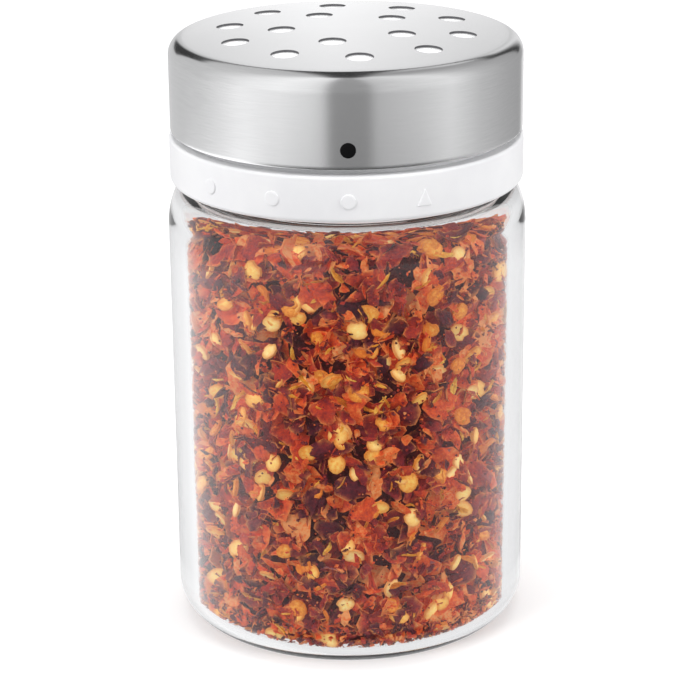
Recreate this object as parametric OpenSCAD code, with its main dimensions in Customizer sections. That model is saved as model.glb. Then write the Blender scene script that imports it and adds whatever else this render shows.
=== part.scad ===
// Twist-dial spice shaker: a straight glass jar filled with chili flakes, a screw collar with
// setting marks and a shutter, and a perforated steel cap that turns on the collar.
// Millimetres. +Z is up, the jar stands on z = 0 and the index dot faces -Y.

/* [Glass jar] */
// Outside diameter of the glass
jar_d = 66; // [60:1:76]
// Height of the ledge that the neck rises from
ledge_z = 85.2; // [70:0.5:120]
// Thickness of the side wall
jar_wall = 3.2; // [2.5:0.1:4.5]
// Height of the inside floor above the table
floor_z = 2.6; // [2.2:0.1:6]
// Radius of the outside heel
heel_r = 6.6; // [4:0.1:9]
// Radius of the inside heel
inner_heel_r = 3.2; // [2:0.1:8]
// Radius of the outside shoulder
shoulder_r = 14; // [11:0.5:18]
// Width of the flat ledge that the collar sits over
ledge_w = 2.9; // [1.5:0.1:4]
// Width of the ring that the jar stands on
bearing_w = 4.4; // [2:0.1:8]
// Height of the hollow under the base
punt_h = 0.8; // [0.5:0.1:1.4]
// Distance from the ledge down to where the inside wall starts to curve in
roof_drop = 7; // [6:0.1:9]
// Slope of the roof inside the shoulder, rising towards the neck
roof_slope = 15; // [10:1:20]
// Width of the roof's straight part
roof_flat = 0.2; // [0.1:0.1:1]
// Radius where the roof meets the neck's bore
throat_r = 1.2; // [0.5:0.1:1.2]

/* [Neck] */
// How far the neck stands in from the side of the jar
neck_inset = 5.4; // [4.5:0.1:8]
// Height of the neck above the ledge
neck_h = 13.4; // [11:0.1:18]
// Thickness of the neck's wall
neck_wall = 2.8; // [2:0.1:3.4]
// Radius of the rim's two edges
rim_r = 0.9; // [0.4:0.1:0.9]
// Radius where the neck meets the ledge
neck_root_r = 0.8; // [0.3:0.1:1]

/* [Contents] */
// How far the filling's top stays below the glass ledge, at the glass
fill_drop = 6; // [5:0.5:20]
// How far the filling heaps up in the middle
fill_crown = 2.5; // [0:0.1:4]
// Rounding of the filling's upper edge
fill_edge_r = 5; // [2:0.5:8]
// Distance between neighbouring clumps
clump_step = 8.4; // [7:0.1:12]
// Depth of the hollows between the clumps
clump_h = 1.6; // [0.5:0.1:2]
// Room between the filling and the glass
fill_gap = 0.3; // [0.2:0.1:0.6]

/* [Collar] */
// How far the band that carries the marks stands out past the steel
band_proud = 0.25; // [0:0.05:0.5]
// Height of the band
band_h = 8.45; // [6:0.05:10]
// Gap between the glass ledge and the band
band_gap = 0.35; // [0.3:0.05:1.5]
// Rounding of the band's lower edge
band_low_r = 1; // [0.3:0.1:1.5]
// Rounding of the band's upper edge
band_top_r = 0.6; // [0.2:0.1:1]
// Radial room that the threads take between the neck and the collar
thread_room = 1.1; // [0.8:0.1:1.3]
// Wall of the collar's upper skirt
skirt_wall = 1.4; // [1.2:0.1:1.5]
// Thickness of the deck over the glass rim
deck_t = 1.8; // [1.2:0.1:2.5]
// How far the deck reaches in past the neck's bore
deck_lip = 0.6; // [0.2:0.1:2]
// Lead-in chamfer at the mouth of the collar
lead_in = 0.5; // [0.2:0.1:0.8]

/* [Setting marks] */
// Angle from one mark to the next
mark_step = 24; // [24]
// Diameter of the round marks
mark_d = 2.75; // [2:0.05:4]
// Width of the triangular mark
mark_w = 2.9; // [2:0.1:4]
// Height of the triangular mark
mark_h = 3.2; // [2:0.1:4.5]
// How far the marks stand out of the band
mark_proud = 0.25; // [0.1:0.05:0.5]
// Height of the round marks above the band's lower edge
mark_z = 4; // [2.5:0.1:5]

/* [Gasket] */
// Thickness of the ring between the glass rim and the deck
gasket_t = 1.3; // [0.8:0.1:2]
// Room between the ring's edge and the collar's bore
gasket_gap = 0.15; // [0.05:0.05:0.3]

/* [Drum and shutter] */
// How far the drum that carries the shutter stands in from the skirt
drum_inset = 2.9; // [2.6:0.1:3.4]
// Height of the drum above the deck
drum_h = 8; // [7:0.1:14]
// Wall of the drum
drum_wall = 1.5; // [1.3:0.1:1.6]
// Gap between the liner and the edge of the shutter plate and flange
plate_side_gap = 1.8; // [1.5:0.1:2]
// Thickness of the shutter plate
plate_t = 1.6; // [1:0.1:2]
// Running gap between the shutter plate and the steel
plate_gap = 0.15; // [0.1:0.05:0.3]
// Height of the rim that plugs the shutter plate into the drum
spigot_h = 2.5; // [1.5:0.1:4]
// Wall of that rim
spigot_wall = 1.25; // [0.8:0.05:1.3]
// Room between that rim, its keys and the drum
spigot_gap = 0.15; // [0.05:0.05:0.2]
// Width of the keys that set the plate's angle
key_w = 3; // [2:0.1:5]
// How far the keys stand out of the rim
key_h = 0.7; // [0.4:0.1:0.8]
// Diameter of the small openings
small_d = 2.4; // [1.5:0.1:2.6]
// Width of the large openings
large_w = 3.4; // [2.8:0.1:3.6]
// Length of the large openings, along the radius
large_l = 4.4; // [3.6:0.1:4.8]

/* [Steel cap] */
// Gap between the collar's band and the cap
cap_gap = 1; // [0.5:0.1:2]
// Thickness of the sheet
cap_t = 0.4; // [0.3:0.05:0.6]
// Outside radius of the edge round the top
cap_edge_r = 3.1; // [2:0.1:3.4]
// Radius of the dome
dome_r = 303; // [200:1:600]
// How far the hem turns inward
hem_w = 0.9; // [0.6:0.1:1]
// Height of the hem
hem_h = 0.7; // [0.5:0.1:1]
// Diameter of the shaker holes
hole_d = 5; // [3:0.1:5]
// Number of holes in the inner ring; the outer ring has twice as many
hole_n = 5; // [5]
// How far the outer ring of holes stands in from the drum's bore
ring_inset = 4.2; // [4:0.1:6]
// Radius of the inner ring of holes
inner_ring_r = 11.6; // [10.5:0.1:13]
// Angle of the first hole of the outer ring
outer_phase = 6; // [0:0.5:12]
// Angle of the first hole of the inner ring
inner_phase = -12; // [-20:0.5:0]

/* [Cap liner] */
// Running gap between the liner and the collar's skirt
turn_gap = 0.3; // [0.1:0.05:0.5]
// Wall of the liner inside the steel skirt
liner_wall = 1.3; // [1:0.1:1.5]
// Room between the liner and the steel
liner_gap = 0.1; // [0.05:0.05:0.15]
// Height of the liner's top above the centre of the steel's edge radius
liner_top = 1.4; // [1:0.1:1.5]
// Height of the bayonet lugs
lug_h = 2.2; // [1.5:0.1:3]
// Angle that each lug covers
lug_a = 20; // [10:1:22]
// Running gap round the lugs
lug_gap = 0.3; // [0.2:0.05:0.5]
// Height of the flange that the lugs run under
flange_h = 1.8; // [1.2:0.1:2.5]

/* [Index dot] */
// Diameter of the dot
dot_d = 2.65; // [2:0.05:3.5]
// Height of the dot's centre above the hem
dot_z = 3.6; // [2.6:0.1:8]
// How far the dot stands out of the steel
dot_proud = 0.08; // [0:0.02:0.2]
// Depth of the dot's seat in the liner
dot_seat = 0.8; // [0.4:0.1:1]
// Room between the dot and its hole
dot_gap = 0.05; // [0.02:0.01:0.1]

/* [Hidden] */
$fn = 96;
arc_n = 8;      // straight pieces in each profile arc
crown_n = 4;    // rows of points from the filling's rounded edge to its middle
over = 1;       // how far a cutter runs past the face that it cuts

jar_r = jar_d / 2;
cavity_r = jar_r - jar_wall;
neck_r = jar_r - neck_inset;
neck_bore_r = neck_r - neck_wall;
rim_z = ledge_z + neck_h;
shoulder_c = jar_r - shoulder_r;            // axis distance of the shoulder's centre
shoulder_rise = sqrt(pow(shoulder_r, 2) - pow(neck_r + ledge_w - shoulder_c, 2));
shoulder_z = ledge_z - shoulder_rise;       // height of the shoulder's centre
roof_w = cavity_r - neck_bore_r;            // from the side wall's inside to the neck's bore
roof_z = ledge_z - roof_drop;               // height of the inside shoulder's centre
min_ledge_t = 1.6;                          // glass left over the inside shoulder
inner_shoulder_r = min((roof_w - roof_flat) / (1 - sin(roof_slope)) - throat_r,
                       roof_drop - min_ledge_t);
fill_z = ledge_z - fill_drop;

collar_bore_r = neck_r + thread_room;
skirt_r = collar_bore_r + skirt_wall;
band_z = ledge_z + band_gap;
band_top_z = band_z + band_h;
deck_z = rim_z + gasket_t;
deck_top_z = deck_z + deck_t;
deck_open_r = neck_bore_r - deck_lip;

liner_bore_r = skirt_r + turn_gap;
liner_r = liner_bore_r + liner_wall;
liner_inset = cap_t + liner_gap;            // from the steel's outside to the liner
cap_r = liner_r + liner_inset;
band_r = cap_r + band_proud;
cap_z = band_top_z + cap_gap;
liner_z = cap_z + hem_h + liner_gap;

drum_r = skirt_r - drum_inset;
drum_bore_r = drum_r - drum_wall;
drum_top_z = deck_top_z + drum_h;
spigot_r = drum_bore_r - spigot_gap;
flange_z = drum_top_z - flange_h;
plate_r = liner_bore_r - plate_side_gap;
plate_inset = cap_t + plate_gap;            // from the steel's outside to the plate's top
outer_ring_r = drum_bore_r - ring_inset;

dome_z = drum_top_z + plate_t - sqrt(pow(dome_r - plate_inset, 2) - pow(plate_r, 2));
cap_top_z = dome_z + dome_r;                // dome_z is the height of the dome's centre
edge_c = cap_r - cap_edge_r;                // axis distance of the edge radius' centre
edge_a = asin(edge_c / (dome_r - cap_edge_r));
edge_z = dome_z + (dome_r - cap_edge_r) * cos(edge_a);

lug_z = flange_z - lug_gap - lug_h;
lug_r = drum_r + lug_gap;                   // how near the lugs come to the axis

lug_n = 3;
lug_phase = 60;                             // middle of a lug with the dial at rest
turn_min = -2 * mark_step;                  // dial at the first round mark
turn_max = mark_step;                       // dial at the triangle, where it lifts off
stop_a = 1;                                 // turning play at each stop
gate_play = 3;                              // room at each side of a lug in its gate
stop_r = plate_r - 0.3;                     // the stops stand back from the flange's edge
gate_from = lug_phase + turn_max - lug_a / 2 - gate_play;
gate_to = lug_phase + turn_max + lug_a / 2 + gate_play;
stop_from = lug_phase + turn_max + lug_a / 2 + stop_a;
stop_to = lug_phase + turn_min - lug_a / 2 - stop_a + 360 / lug_n;

// Points along an arc round [x, z] from angle a to angle b.
function arc(x, z, r, a, b) =
    [for (i = [0:arc_n]) let (t = a + (b - a) * i / arc_n) [x + r * cos(t), z + r * sin(t)]];

// Height of the dome at distance x from the axis, inset below the steel's outside.
function dome_height(x, inset) = dome_z + sqrt(pow(dome_r - inset, 2) - x * x);

// The dome from distance a to distance b, inset below the steel's outside.
function dome(a, b, inset) =
    [for (i = [0:arc_n]) let (x = a + (b - a) * i / arc_n) [x, dome_height(x, inset)]];

// Turns from +X to a place at an angle round the jar, counted from the front.
module at_angle(angle) {
    rotate([0, 0, angle - 90]) children();
}

// Part of a ring, from angle a to angle b, with a rectangular section.
module ring_part(r_in, r_out, z_low, z_high, a, b) {
    at_angle(a) rotate_extrude(angle = b - a)
        translate([r_in, z_low]) square([r_out - r_in, z_high - z_low]);
}

// Hollow punted base, straight side, rounded heel and shoulder, ledge and plain neck.
module glass_jar() {
    bearing_in = jar_r - heel_r - bearing_w;
    punt_r = (pow(bearing_in, 2) + pow(punt_h, 2)) / (2 * punt_h);
    punt_a = asin(bearing_in / punt_r);
    inner_c = cavity_r - inner_shoulder_r;      // axis distance of the inside shoulder's centre
    throat_x = neck_bore_r + throat_r;
    roof_x = inner_c + inner_shoulder_r * sin(roof_slope);
    throat_z = roof_z + inner_shoulder_r * cos(roof_slope) + (roof_x - throat_x) * tan(roof_slope)
        + throat_r / cos(roof_slope);
    outside = concat(
        arc(0, punt_h - punt_r, punt_r, 90, 90 - punt_a),
        arc(jar_r - heel_r, heel_r, heel_r, -90, 0),
        arc(shoulder_c, shoulder_z, shoulder_r, 0, asin(shoulder_rise / shoulder_r)),
        arc(neck_r + neck_root_r, ledge_z + neck_root_r, neck_root_r, 270, 180),
        arc(neck_r - rim_r, rim_z - rim_r, rim_r, 0, 90));
    inside = concat(
        arc(neck_bore_r + rim_r, rim_z - rim_r, rim_r, 90, 180),
        arc(throat_x, throat_z, throat_r, 180, 270 - roof_slope),
        arc(inner_c, roof_z, inner_shoulder_r, 90 - roof_slope, 0),
        arc(cavity_r - inner_heel_r, floor_z + inner_heel_r, inner_heel_r, 0, -90),
        [[0, floor_z]]);
    color([0.86, 0.92, 0.93, 0.4]) rotate_extrude() polygon(concat(outside, inside));
}

// Points round [x, z] at each of the angles, as [x, z, outward x, outward z].
function fill_arc(x, z, r, angles) = [for (t = angles) [x + r * cos(t), z + r * sin(t), cos(t), sin(t)]];

// The flakes and seeds as one closed heap that follows the glass, with a clumped surface.
module chili_flakes() {
    fill_r = cavity_r - fill_gap;
    heel_x = cavity_r - inner_heel_r;
    heel_z = floor_z + inner_heel_r;
    edge_x = fill_r - fill_edge_r;
    edge_low = fill_z - fill_edge_r;
    spacing = clump_step / sqrt(2);             // from a clump to the hollow beside it
    columns = 2 * round(PI * fill_r / spacing);
    side_n = round((edge_low - heel_z) / spacing);
    base = fill_arc(heel_x, heel_z, inner_heel_r - fill_gap, [-90, -45]);
    side = [for (k = [0:side_n]) [fill_r, heel_z + (edge_low - heel_z) * k / side_n, 1, 0]];
    edge = fill_arc(edge_x, edge_low, fill_edge_r, [40, 90]);
    crown = [for (k = [1:crown_n - 1]) let (t = 1 - k / crown_n)
        [edge_x * t, fill_z + fill_crown * (1 - t * t), 0, 1]];
    rows = concat(base, side, edge, crown);
    last_clumped = len(rows) - crown_n + 1;     // the crown is smooth from its second row
    // Rows count up from the floor and columns turn round the axis. Every other point is sunk.
    points = [for (j = [0:len(rows) - 1]) for (i = [0:columns - 1])
        let (row = rows[j], angle = 360 * i / columns,
             sunk = j < len(base) || j > last_clumped ? 0 : clump_h * ((i + j) % 2),
             x = row[0] - row[2] * sunk)
        [x * cos(angle), x * sin(angle), row[1] - row[3] * sunk]];
    sides = [for (j = [0:len(rows) - 2]) for (i = [0:columns - 1])
        let (next = (i + 1) % columns, a = j * columns + i, b = j * columns + next,
             c = b + columns, d = a + columns)
        for (face = (i + j) % 2 == 0 ? [[a, c, b], [a, d, c]] : [[a, d, b], [b, d, c]]) face];
    last = (len(rows) - 1) * columns;
    top = [for (i = [0:columns - 1]) [len(points), last + (i + 1) % columns, last + i]];
    color([0.68, 0.25, 0.12]) polyhedron(
        points = concat(points, [[0, 0, fill_z + fill_crown]]),
        faces = concat([[for (i = [0:columns - 1]) i]], sides, top));
}

// Flat silicone ring that the deck presses on the glass rim.
module rim_gasket() {
    color([0.93, 0.93, 0.92]) translate([0, 0, rim_z]) difference() {
        cylinder(h = gasket_t, r = collar_bore_r - gasket_gap);
        translate([0, 0, -over]) cylinder(h = gasket_t + 2 * over, r = neck_bore_r);
    }
}

// A round pad on the band's face.
module round_mark(angle) {
    at_angle(angle) translate([skirt_r, 0, band_z + mark_z]) rotate([0, 90, 0])
        cylinder(h = band_r + mark_proud - skirt_r, d = mark_d, $fn = 48);
}

// A triangular pad on the band's face, point up.
module triangle_mark(angle) {
    at_angle(angle) translate([skirt_r, 0, band_z + mark_z]) rotate([90, 0, 90])
        linear_extrude(band_r + mark_proud - skirt_r)
            polygon([[-mark_w / 2, -mark_h / 2], [mark_w / 2, -mark_h / 2], [0, mark_h / 2]]);
}

// Revolved part of the collar: marked band, skirt round the neck, deck and drum.
module collar_body() {
    profile = concat(
        [[collar_bore_r, deck_z], [collar_bore_r, band_z + lead_in],
         [collar_bore_r + lead_in, band_z]],
        arc(band_r - band_low_r, band_z + band_low_r, band_low_r, -90, 0),
        arc(band_r - band_top_r, band_top_z - band_top_r, band_top_r, 0, 90),
        [[skirt_r, band_top_z], [skirt_r, deck_top_z], [drum_r, deck_top_z],
         [drum_r, drum_top_z], [drum_bore_r, drum_top_z], [drum_bore_r, deck_top_z],
         [deck_open_r, deck_top_z], [deck_open_r, deck_z]]);
    rotate_extrude() polygon(profile);
}

// One third of the bayonet: a flange that the lugs run under and a stop at either end of it.
module bayonet_track(turn) {
    mid_wall = drum_bore_r + drum_wall / 2;
    ring_part(mid_wall, plate_r, flange_z, drum_top_z, gate_to + turn, gate_from + 360 / lug_n + turn);
    ring_part(mid_wall, stop_r, deck_top_z - deck_t / 2, drum_top_z - flange_h / 2,
              stop_from + turn, stop_to + turn);
}

// A slot in the drum for one key of the shutter plate.
module key_slot() {
    depth = spigot_h + spigot_gap;
    translate([drum_bore_r - over, -key_w / 2 - spigot_gap, drum_top_z - depth])
        cube([key_h + over, key_w + 2 * spigot_gap, depth + over]);
}

// Screw collar with its marks, the bayonet flange with three gates and the dial's stops.
module threaded_collar() {
    color([0.94, 0.94, 0.95]) {
        difference() {
            union() {
                collar_body();
                for (i = [0:lug_n - 1]) bayonet_track(i * 360 / lug_n);
            }
            for (i = [0:lug_n - 1]) at_angle(i * 360 / lug_n) key_slot();
        }
        for (i = [-2:0]) round_mark(i * mark_step);
        triangle_mark(mark_step);
    }
}

// A ring of openings through the shutter plate, each lying along its radius.
module openings(ring_r, count, phase, width, length) {
    low = drum_top_z - over;
    high = cap_top_z - low;
    reach = (length - width) / 2;
    for (i = [0:count - 1]) at_angle(phase + i * 360 / count) {
        for (side = [-1, 1]) translate([ring_r + side * reach, 0, low])
            cylinder(h = high, d = width, $fn = 32);
        if (reach > 0) translate([ring_r - reach, -width / 2, low])
            cube([2 * reach, width, high]);
    }
}

// Domed plate under the steel with small and large openings beside each closed place.
module shutter_plate() {
    spigot_z = drum_top_z - spigot_h;
    spigot_in = spigot_r - spigot_wall;
    profile = concat(
        dome(0, plate_r, plate_inset),
        [[plate_r, drum_top_z], [spigot_r, drum_top_z], [spigot_r, spigot_z],
         [spigot_in, spigot_z]],
        dome(spigot_in, 0, plate_inset + plate_t));
    color([0.97, 0.97, 0.97]) difference() {
        union() {
            rotate_extrude() polygon(profile);
            for (i = [0:lug_n - 1]) at_angle(i * 360 / lug_n)
                translate([spigot_in + spigot_wall / 2, -key_w / 2, spigot_z])
                    cube([spigot_wall / 2 + key_h - spigot_gap / 2, key_w,
                          spigot_h + plate_t / 2]);
        }
        openings(outer_ring_r, 2 * hole_n, outer_phase - mark_step, small_d, small_d);
        openings(outer_ring_r, 2 * hole_n, outer_phase - 2 * mark_step, large_w, large_l);
        openings(inner_ring_r, hole_n, inner_phase - mark_step, small_d, small_d);
        openings(inner_ring_r, hole_n, inner_phase - 2 * mark_step, large_w, large_l);
    }
}

// A ring of shaker holes through the dome.
module shaker_holes(ring_r, count, phase) {
    for (i = [0:count - 1]) at_angle(phase + i * 360 / count)
        translate([ring_r, 0, edge_z]) cylinder(h = cap_top_z - edge_z + over, d = hole_d, $fn = 48);
}

// Drawn steel shell: domed top, rounded edge, straight skirt and turned-in hem.
module steel_cap() {
    hem_r = hem_h / 2;
    profile = concat(
        dome(0, dome_r * sin(edge_a), 0),
        arc(edge_c, edge_z, cap_edge_r, 90 - edge_a, 0),
        arc(cap_r - hem_r, cap_z + hem_r, hem_r, 0, -90),
        arc(cap_r - hem_w, cap_z + hem_r, hem_r, 270, 90),
        [[cap_r - cap_t, cap_z + hem_h]],
        arc(edge_c, edge_z, cap_edge_r - cap_t, 0, 90 - edge_a),
        dome((dome_r - cap_t) * sin(edge_a), 0, cap_t));
    color([0.76, 0.77, 0.78]) difference() {
        rotate_extrude() polygon(profile);
        shaker_holes(outer_ring_r, 2 * hole_n, outer_phase);
        shaker_holes(inner_ring_r, hole_n, inner_phase);
        dot_bore(cap_r + over, dot_d + 2 * dot_gap);
    }
}

// A cylinder along the radius at the front, from the dot's seat out to distance r_out.
module dot_bore(r_out, d) {
    r_in = liner_r - dot_seat;
    at_angle(0) translate([r_in, 0, cap_z + dot_z]) rotate([0, 90, 0])
        cylinder(h = r_out - r_in, d = d, $fn = 48);
}

// Moulded ring inside the steel skirt, with three bayonet lugs that hold the dial down.
module cap_liner() {
    profile = concat(
        [[liner_bore_r, liner_z], [liner_r, liner_z]],
        arc(edge_c, edge_z, cap_edge_r - liner_inset, 0,
            asin(liner_top / (cap_edge_r - liner_inset))),
        [[liner_bore_r, edge_z + liner_top]]);
    color([0.92, 0.92, 0.93]) difference() {
        union() {
            rotate_extrude() polygon(profile);
            for (i = [0:lug_n - 1])
                ring_part(lug_r, liner_bore_r + liner_wall / 2, lug_z, lug_z + lug_h,
                          lug_phase - lug_a / 2 + i * 360 / lug_n,
                          lug_phase + lug_a / 2 + i * 360 / lug_n);
        }
        dot_bore(cap_r + over, dot_d + 2 * dot_gap);
    }
}

// Black plug that marks the front of the dial.
module index_dot() {
    color([0.05, 0.05, 0.05]) dot_bore(cap_r + dot_proud, dot_d);
}

glass_jar();
chili_flakes();
rim_gasket();
threaded_collar();
shutter_plate();
steel_cap();
cap_liner();
index_dot();
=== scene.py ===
"""Looks of a twist-dial spice shaker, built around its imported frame.

Lengths are in metres, in the frame's own axes: +Z is up, the jar stands on z = 0 and the
index dot faces -Y. An azimuth is counted from the front, positive towards +X.
"""

import logging
import math
from collections.abc import Mapping, Sequence
from dataclasses import dataclass, replace
from enum import Enum

import bmesh
import bpy
import numpy as np
from mathutils import Matrix, Vector


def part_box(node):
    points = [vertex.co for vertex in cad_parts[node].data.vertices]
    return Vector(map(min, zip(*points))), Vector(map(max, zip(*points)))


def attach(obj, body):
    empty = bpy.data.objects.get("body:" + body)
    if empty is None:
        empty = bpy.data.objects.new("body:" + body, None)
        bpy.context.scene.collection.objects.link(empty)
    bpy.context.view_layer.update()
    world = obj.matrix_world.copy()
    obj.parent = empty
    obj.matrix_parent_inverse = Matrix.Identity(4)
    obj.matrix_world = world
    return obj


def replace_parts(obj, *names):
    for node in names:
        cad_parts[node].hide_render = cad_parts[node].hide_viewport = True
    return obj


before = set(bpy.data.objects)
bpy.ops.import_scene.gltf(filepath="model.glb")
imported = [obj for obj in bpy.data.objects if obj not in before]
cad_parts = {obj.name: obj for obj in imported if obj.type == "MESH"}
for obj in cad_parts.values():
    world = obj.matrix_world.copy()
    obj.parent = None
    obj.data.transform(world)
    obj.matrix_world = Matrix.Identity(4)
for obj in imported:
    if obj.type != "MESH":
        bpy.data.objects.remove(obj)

LOG = logging.getLogger("spice_shaker")
MM = 0.001

# Points closer than TOUCH are one point, and a divisor is never less than NONZERO.
TOUCH = 1e-7
NONZERO = 1e-9

# Edges that turn by more than SHARP degrees stay sharp, and at SMOOTH none does.
SHARP = 35.0
SMOOTH = 180.0

# How many steps a turned shape has: most of them, the glass, a layer's shell and a hole.
TURN_STEPS = 256
GLASS_STEPS = 320
SHELL_STEPS = 96
HOLE_STEPS = 64

# The noise values at which a two-tone finish is all dark and all light.
TONE_ENDS = (0.3, 0.7)
WHITE = (1.0, 1.0, 1.0, 1.0)

Pair = tuple[float, float]
Point = tuple[float, float]
Place = tuple[float, float, float]
Colour = tuple[int, int, int]
Linear = tuple[float, float, float, float]
Socket = bpy.types.NodeSocket
Value = Socket | float | str | Sequence[float]


# ---------------------------------------------------------------- shapes


def arc(centre: Point, radius: float, start: float, end: float, steps: int) -> list[Point]:
    """Points along an arc.

    Args:
        centre: The arc's centre as (distance from the axis, height).
        radius: The arc's radius.
        start: The first point's angle in degrees, 0 pointing away from the axis.
        end: The last point's angle in degrees.
        steps: How many straight pieces the arc has.

    Returns:
        The points from start to end, both included.
    """
    angles = np.radians(np.linspace(start, end, steps + 1))
    return [(centre[0] + radius * math.cos(a), centre[1] + radius * math.sin(a)) for a in angles]


def direction(azimuth: float) -> Vector:
    """The unit vector that points from the axis towards an azimuth in degrees."""
    angle = math.radians(azimuth)
    return Vector((math.sin(angle), -math.cos(angle), 0.0))


def new_object(name: str, mesh: bpy.types.Mesh) -> bpy.types.Object:
    """Links a mesh into the scene as an object at the origin.

    Args:
        name: The object's name.
        mesh: The object's mesh.

    Returns:
        The new object.
    """
    made = bpy.data.objects.new(name, mesh)
    bpy.context.scene.collection.objects.link(made)
    return made


def shade(mesh: bpy.types.Mesh, sharp: float) -> None:
    """Shades a mesh smooth, except edges that turn by more than an angle in degrees."""
    mesh.shade_smooth()
    mesh.set_sharp_from_angle(angle=math.radians(sharp))


def finish_mesh(mesh: bpy.types.Mesh, sharp: float = SHARP) -> bpy.types.Mesh:
    """Merges doubles, turns faces outwards and shades smooth.

    Args:
        mesh: The mesh to finish, which is a closed shell.
        sharp: Edges that turn by more than this many degrees stay sharp.

    Returns:
        The same mesh.
    """
    work = bmesh.new()
    work.from_mesh(mesh)
    bmesh.ops.remove_doubles(work, verts=work.verts, dist=TOUCH)
    bmesh.ops.recalc_face_normals(work, faces=work.faces)
    work.to_mesh(mesh)
    work.free()
    shade(mesh, sharp)
    return mesh


def solid(
    name: str, verts: Sequence[Place], faces: Sequence[Sequence[int]], sharp: float = SHARP
) -> bpy.types.Object:
    """Makes a closed shell from its points and faces.

    Args:
        name: The new object's name.
        verts: The points.
        faces: The points of each face, by number.
        sharp: Edges that turn by more than this many degrees stay sharp.

    Returns:
        The finished object.
    """
    mesh = bpy.data.meshes.new(name)
    mesh.from_pydata(verts, [], faces)
    return new_object(name, finish_mesh(mesh, sharp))


def lathe(name: str, profile: Sequence[Point], segments: int = TURN_STEPS) -> bpy.types.Object:
    """Turns a closed profile round the Z axis.

    Args:
        name: The new object's name.
        profile: Points as (distance from the axis, height). A point on the axis is a pole.
        segments: How many steps the turn has.

    Returns:
        A closed, smooth-shaded object.
    """
    angles = np.linspace(0.0, 2 * math.pi, segments, endpoint=False)
    verts: list[Place] = []
    rings: list[list[int]] = []
    for radius, height in profile:
        first = len(verts)
        if radius < TOUCH:
            verts.append((0.0, 0.0, height))
            rings.append([first])
        else:
            verts += [(radius * math.cos(a), radius * math.sin(a), height) for a in angles]
            rings.append(list(range(first, first + segments)))
    faces = []
    for low, high in zip(rings, rings[1:] + rings[:1]):
        if len(low) == 1 and len(high) == 1:
            continue
        for i in range(segments):
            j = (i + 1) % segments
            corners = [low[i % len(low)], low[j % len(low)], high[j % len(high)], high[i % len(high)]]
            faces.append(list(dict.fromkeys(corners)))
    return solid(name, verts, faces)


def ring_sector(
    name: str, radii: Pair, heights: Pair, azimuths: Pair, facet: float = 1.5
) -> bpy.types.Object:
    """Makes a piece of a ring with a rectangular section.

    Args:
        name: The new object's name.
        radii: The inner and the outer radius.
        heights: The lower and the upper height.
        azimuths: Where it starts and ends, in degrees.
        facet: About how many degrees one straight step turns.

    Returns:
        The closed object.
    """
    (inner, outer), (low, high), (start, end) = radii, heights, azimuths
    steps = max(2, round(abs(end - start) / facet))
    section = [(inner, low), (outer, low), (outer, high), (inner, high)]
    verts = []
    for azimuth in np.linspace(start, end, steps + 1):
        out = direction(azimuth)
        verts += [(out.x * r, out.y * r, z) for r, z in section]
    faces = [[0, 1, 2, 3], [4 * steps + k for k in (3, 2, 1, 0)]]
    for i in range(steps):
        for k in range(4):
            m = (k + 1) % 4
            faces.append([4 * i + k, 4 * i + 4 + k, 4 * i + 4 + m, 4 * i + m])
    return solid(name, verts, faces)


def place_mesh(obj: bpy.types.Object, matrix: Matrix) -> bpy.types.Object:
    """Moves an object's mesh and leaves the object itself at the origin."""
    obj.data.transform(matrix)
    return obj


def along_azimuth(azimuth: float, distance: float, height: float) -> Matrix:
    """The placement that points +Z away from the axis and +Y up.

    Args:
        azimuth: The side that it faces, in degrees.
        distance: How far from the axis it lies.
        height: How high it lies.

    Returns:
        The placement.
    """
    out = direction(azimuth)
    up = Vector((0.0, 0.0, 1.0))
    side = up.cross(out)
    turn = Matrix((side, up, out)).transposed().to_4x4()
    return Matrix.Translation(out * distance + up * height) @ turn


def join(name: str, parts: Sequence[bpy.types.Object]) -> bpy.types.Object:
    """Joins several objects into the first one.

    Args:
        name: The joined object's name.
        parts: The objects to join.

    Returns:
        The first object, which holds them all.
    """
    first = parts[0]
    with bpy.context.temp_override(
        active_object=first, object=first, selected_editable_objects=list(parts)
    ):
        bpy.ops.object.join()
    first.name = name
    return first


def apply_modifiers(obj: bpy.types.Object) -> bpy.types.Object:
    """Turns an object's modifiers into plain mesh.

    Args:
        obj: The object.

    Returns:
        The same object, without modifiers.
    """
    bpy.context.view_layer.update()
    graph = bpy.context.evaluated_depsgraph_get()
    mesh = bpy.data.meshes.new_from_object(obj.evaluated_get(graph))
    obj.modifiers.clear()
    obj.data = mesh
    return obj


def combine(
    target: bpy.types.Object, tool: bpy.types.Object, operation: str, sharp: float = SHARP
) -> None:
    """Applies a Boolean of two closed objects and removes the tool.

    Args:
        target: The object that changes.
        tool: The object that is added or cut away.
        operation: UNION or DIFFERENCE.
        sharp: Edges that turn by more than this many degrees stay sharp.
    """
    modifier = target.modifiers.new("combine", "BOOLEAN")
    modifier.operation = operation
    modifier.solver = "EXACT"
    modifier.use_self = True
    modifier.object = tool
    apply_modifiers(target)
    bpy.data.objects.remove(tool)
    shade(target.data, sharp)


def wear(obj: bpy.types.Object, *materials: bpy.types.Material) -> None:
    """Gives an object its materials, in place of any that it has.

    Args:
        obj: The object.
        *materials: The materials, by slot.
    """
    obj.data.materials.clear()
    for material in materials:
        obj.data.materials.append(material)


def triangle_count(obj: bpy.types.Object) -> int:
    """How many triangles an object's mesh has."""
    obj.data.calc_loop_triangles()
    return len(obj.data.loop_triangles)


# ---------------------------------------------------------------- node trees


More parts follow.
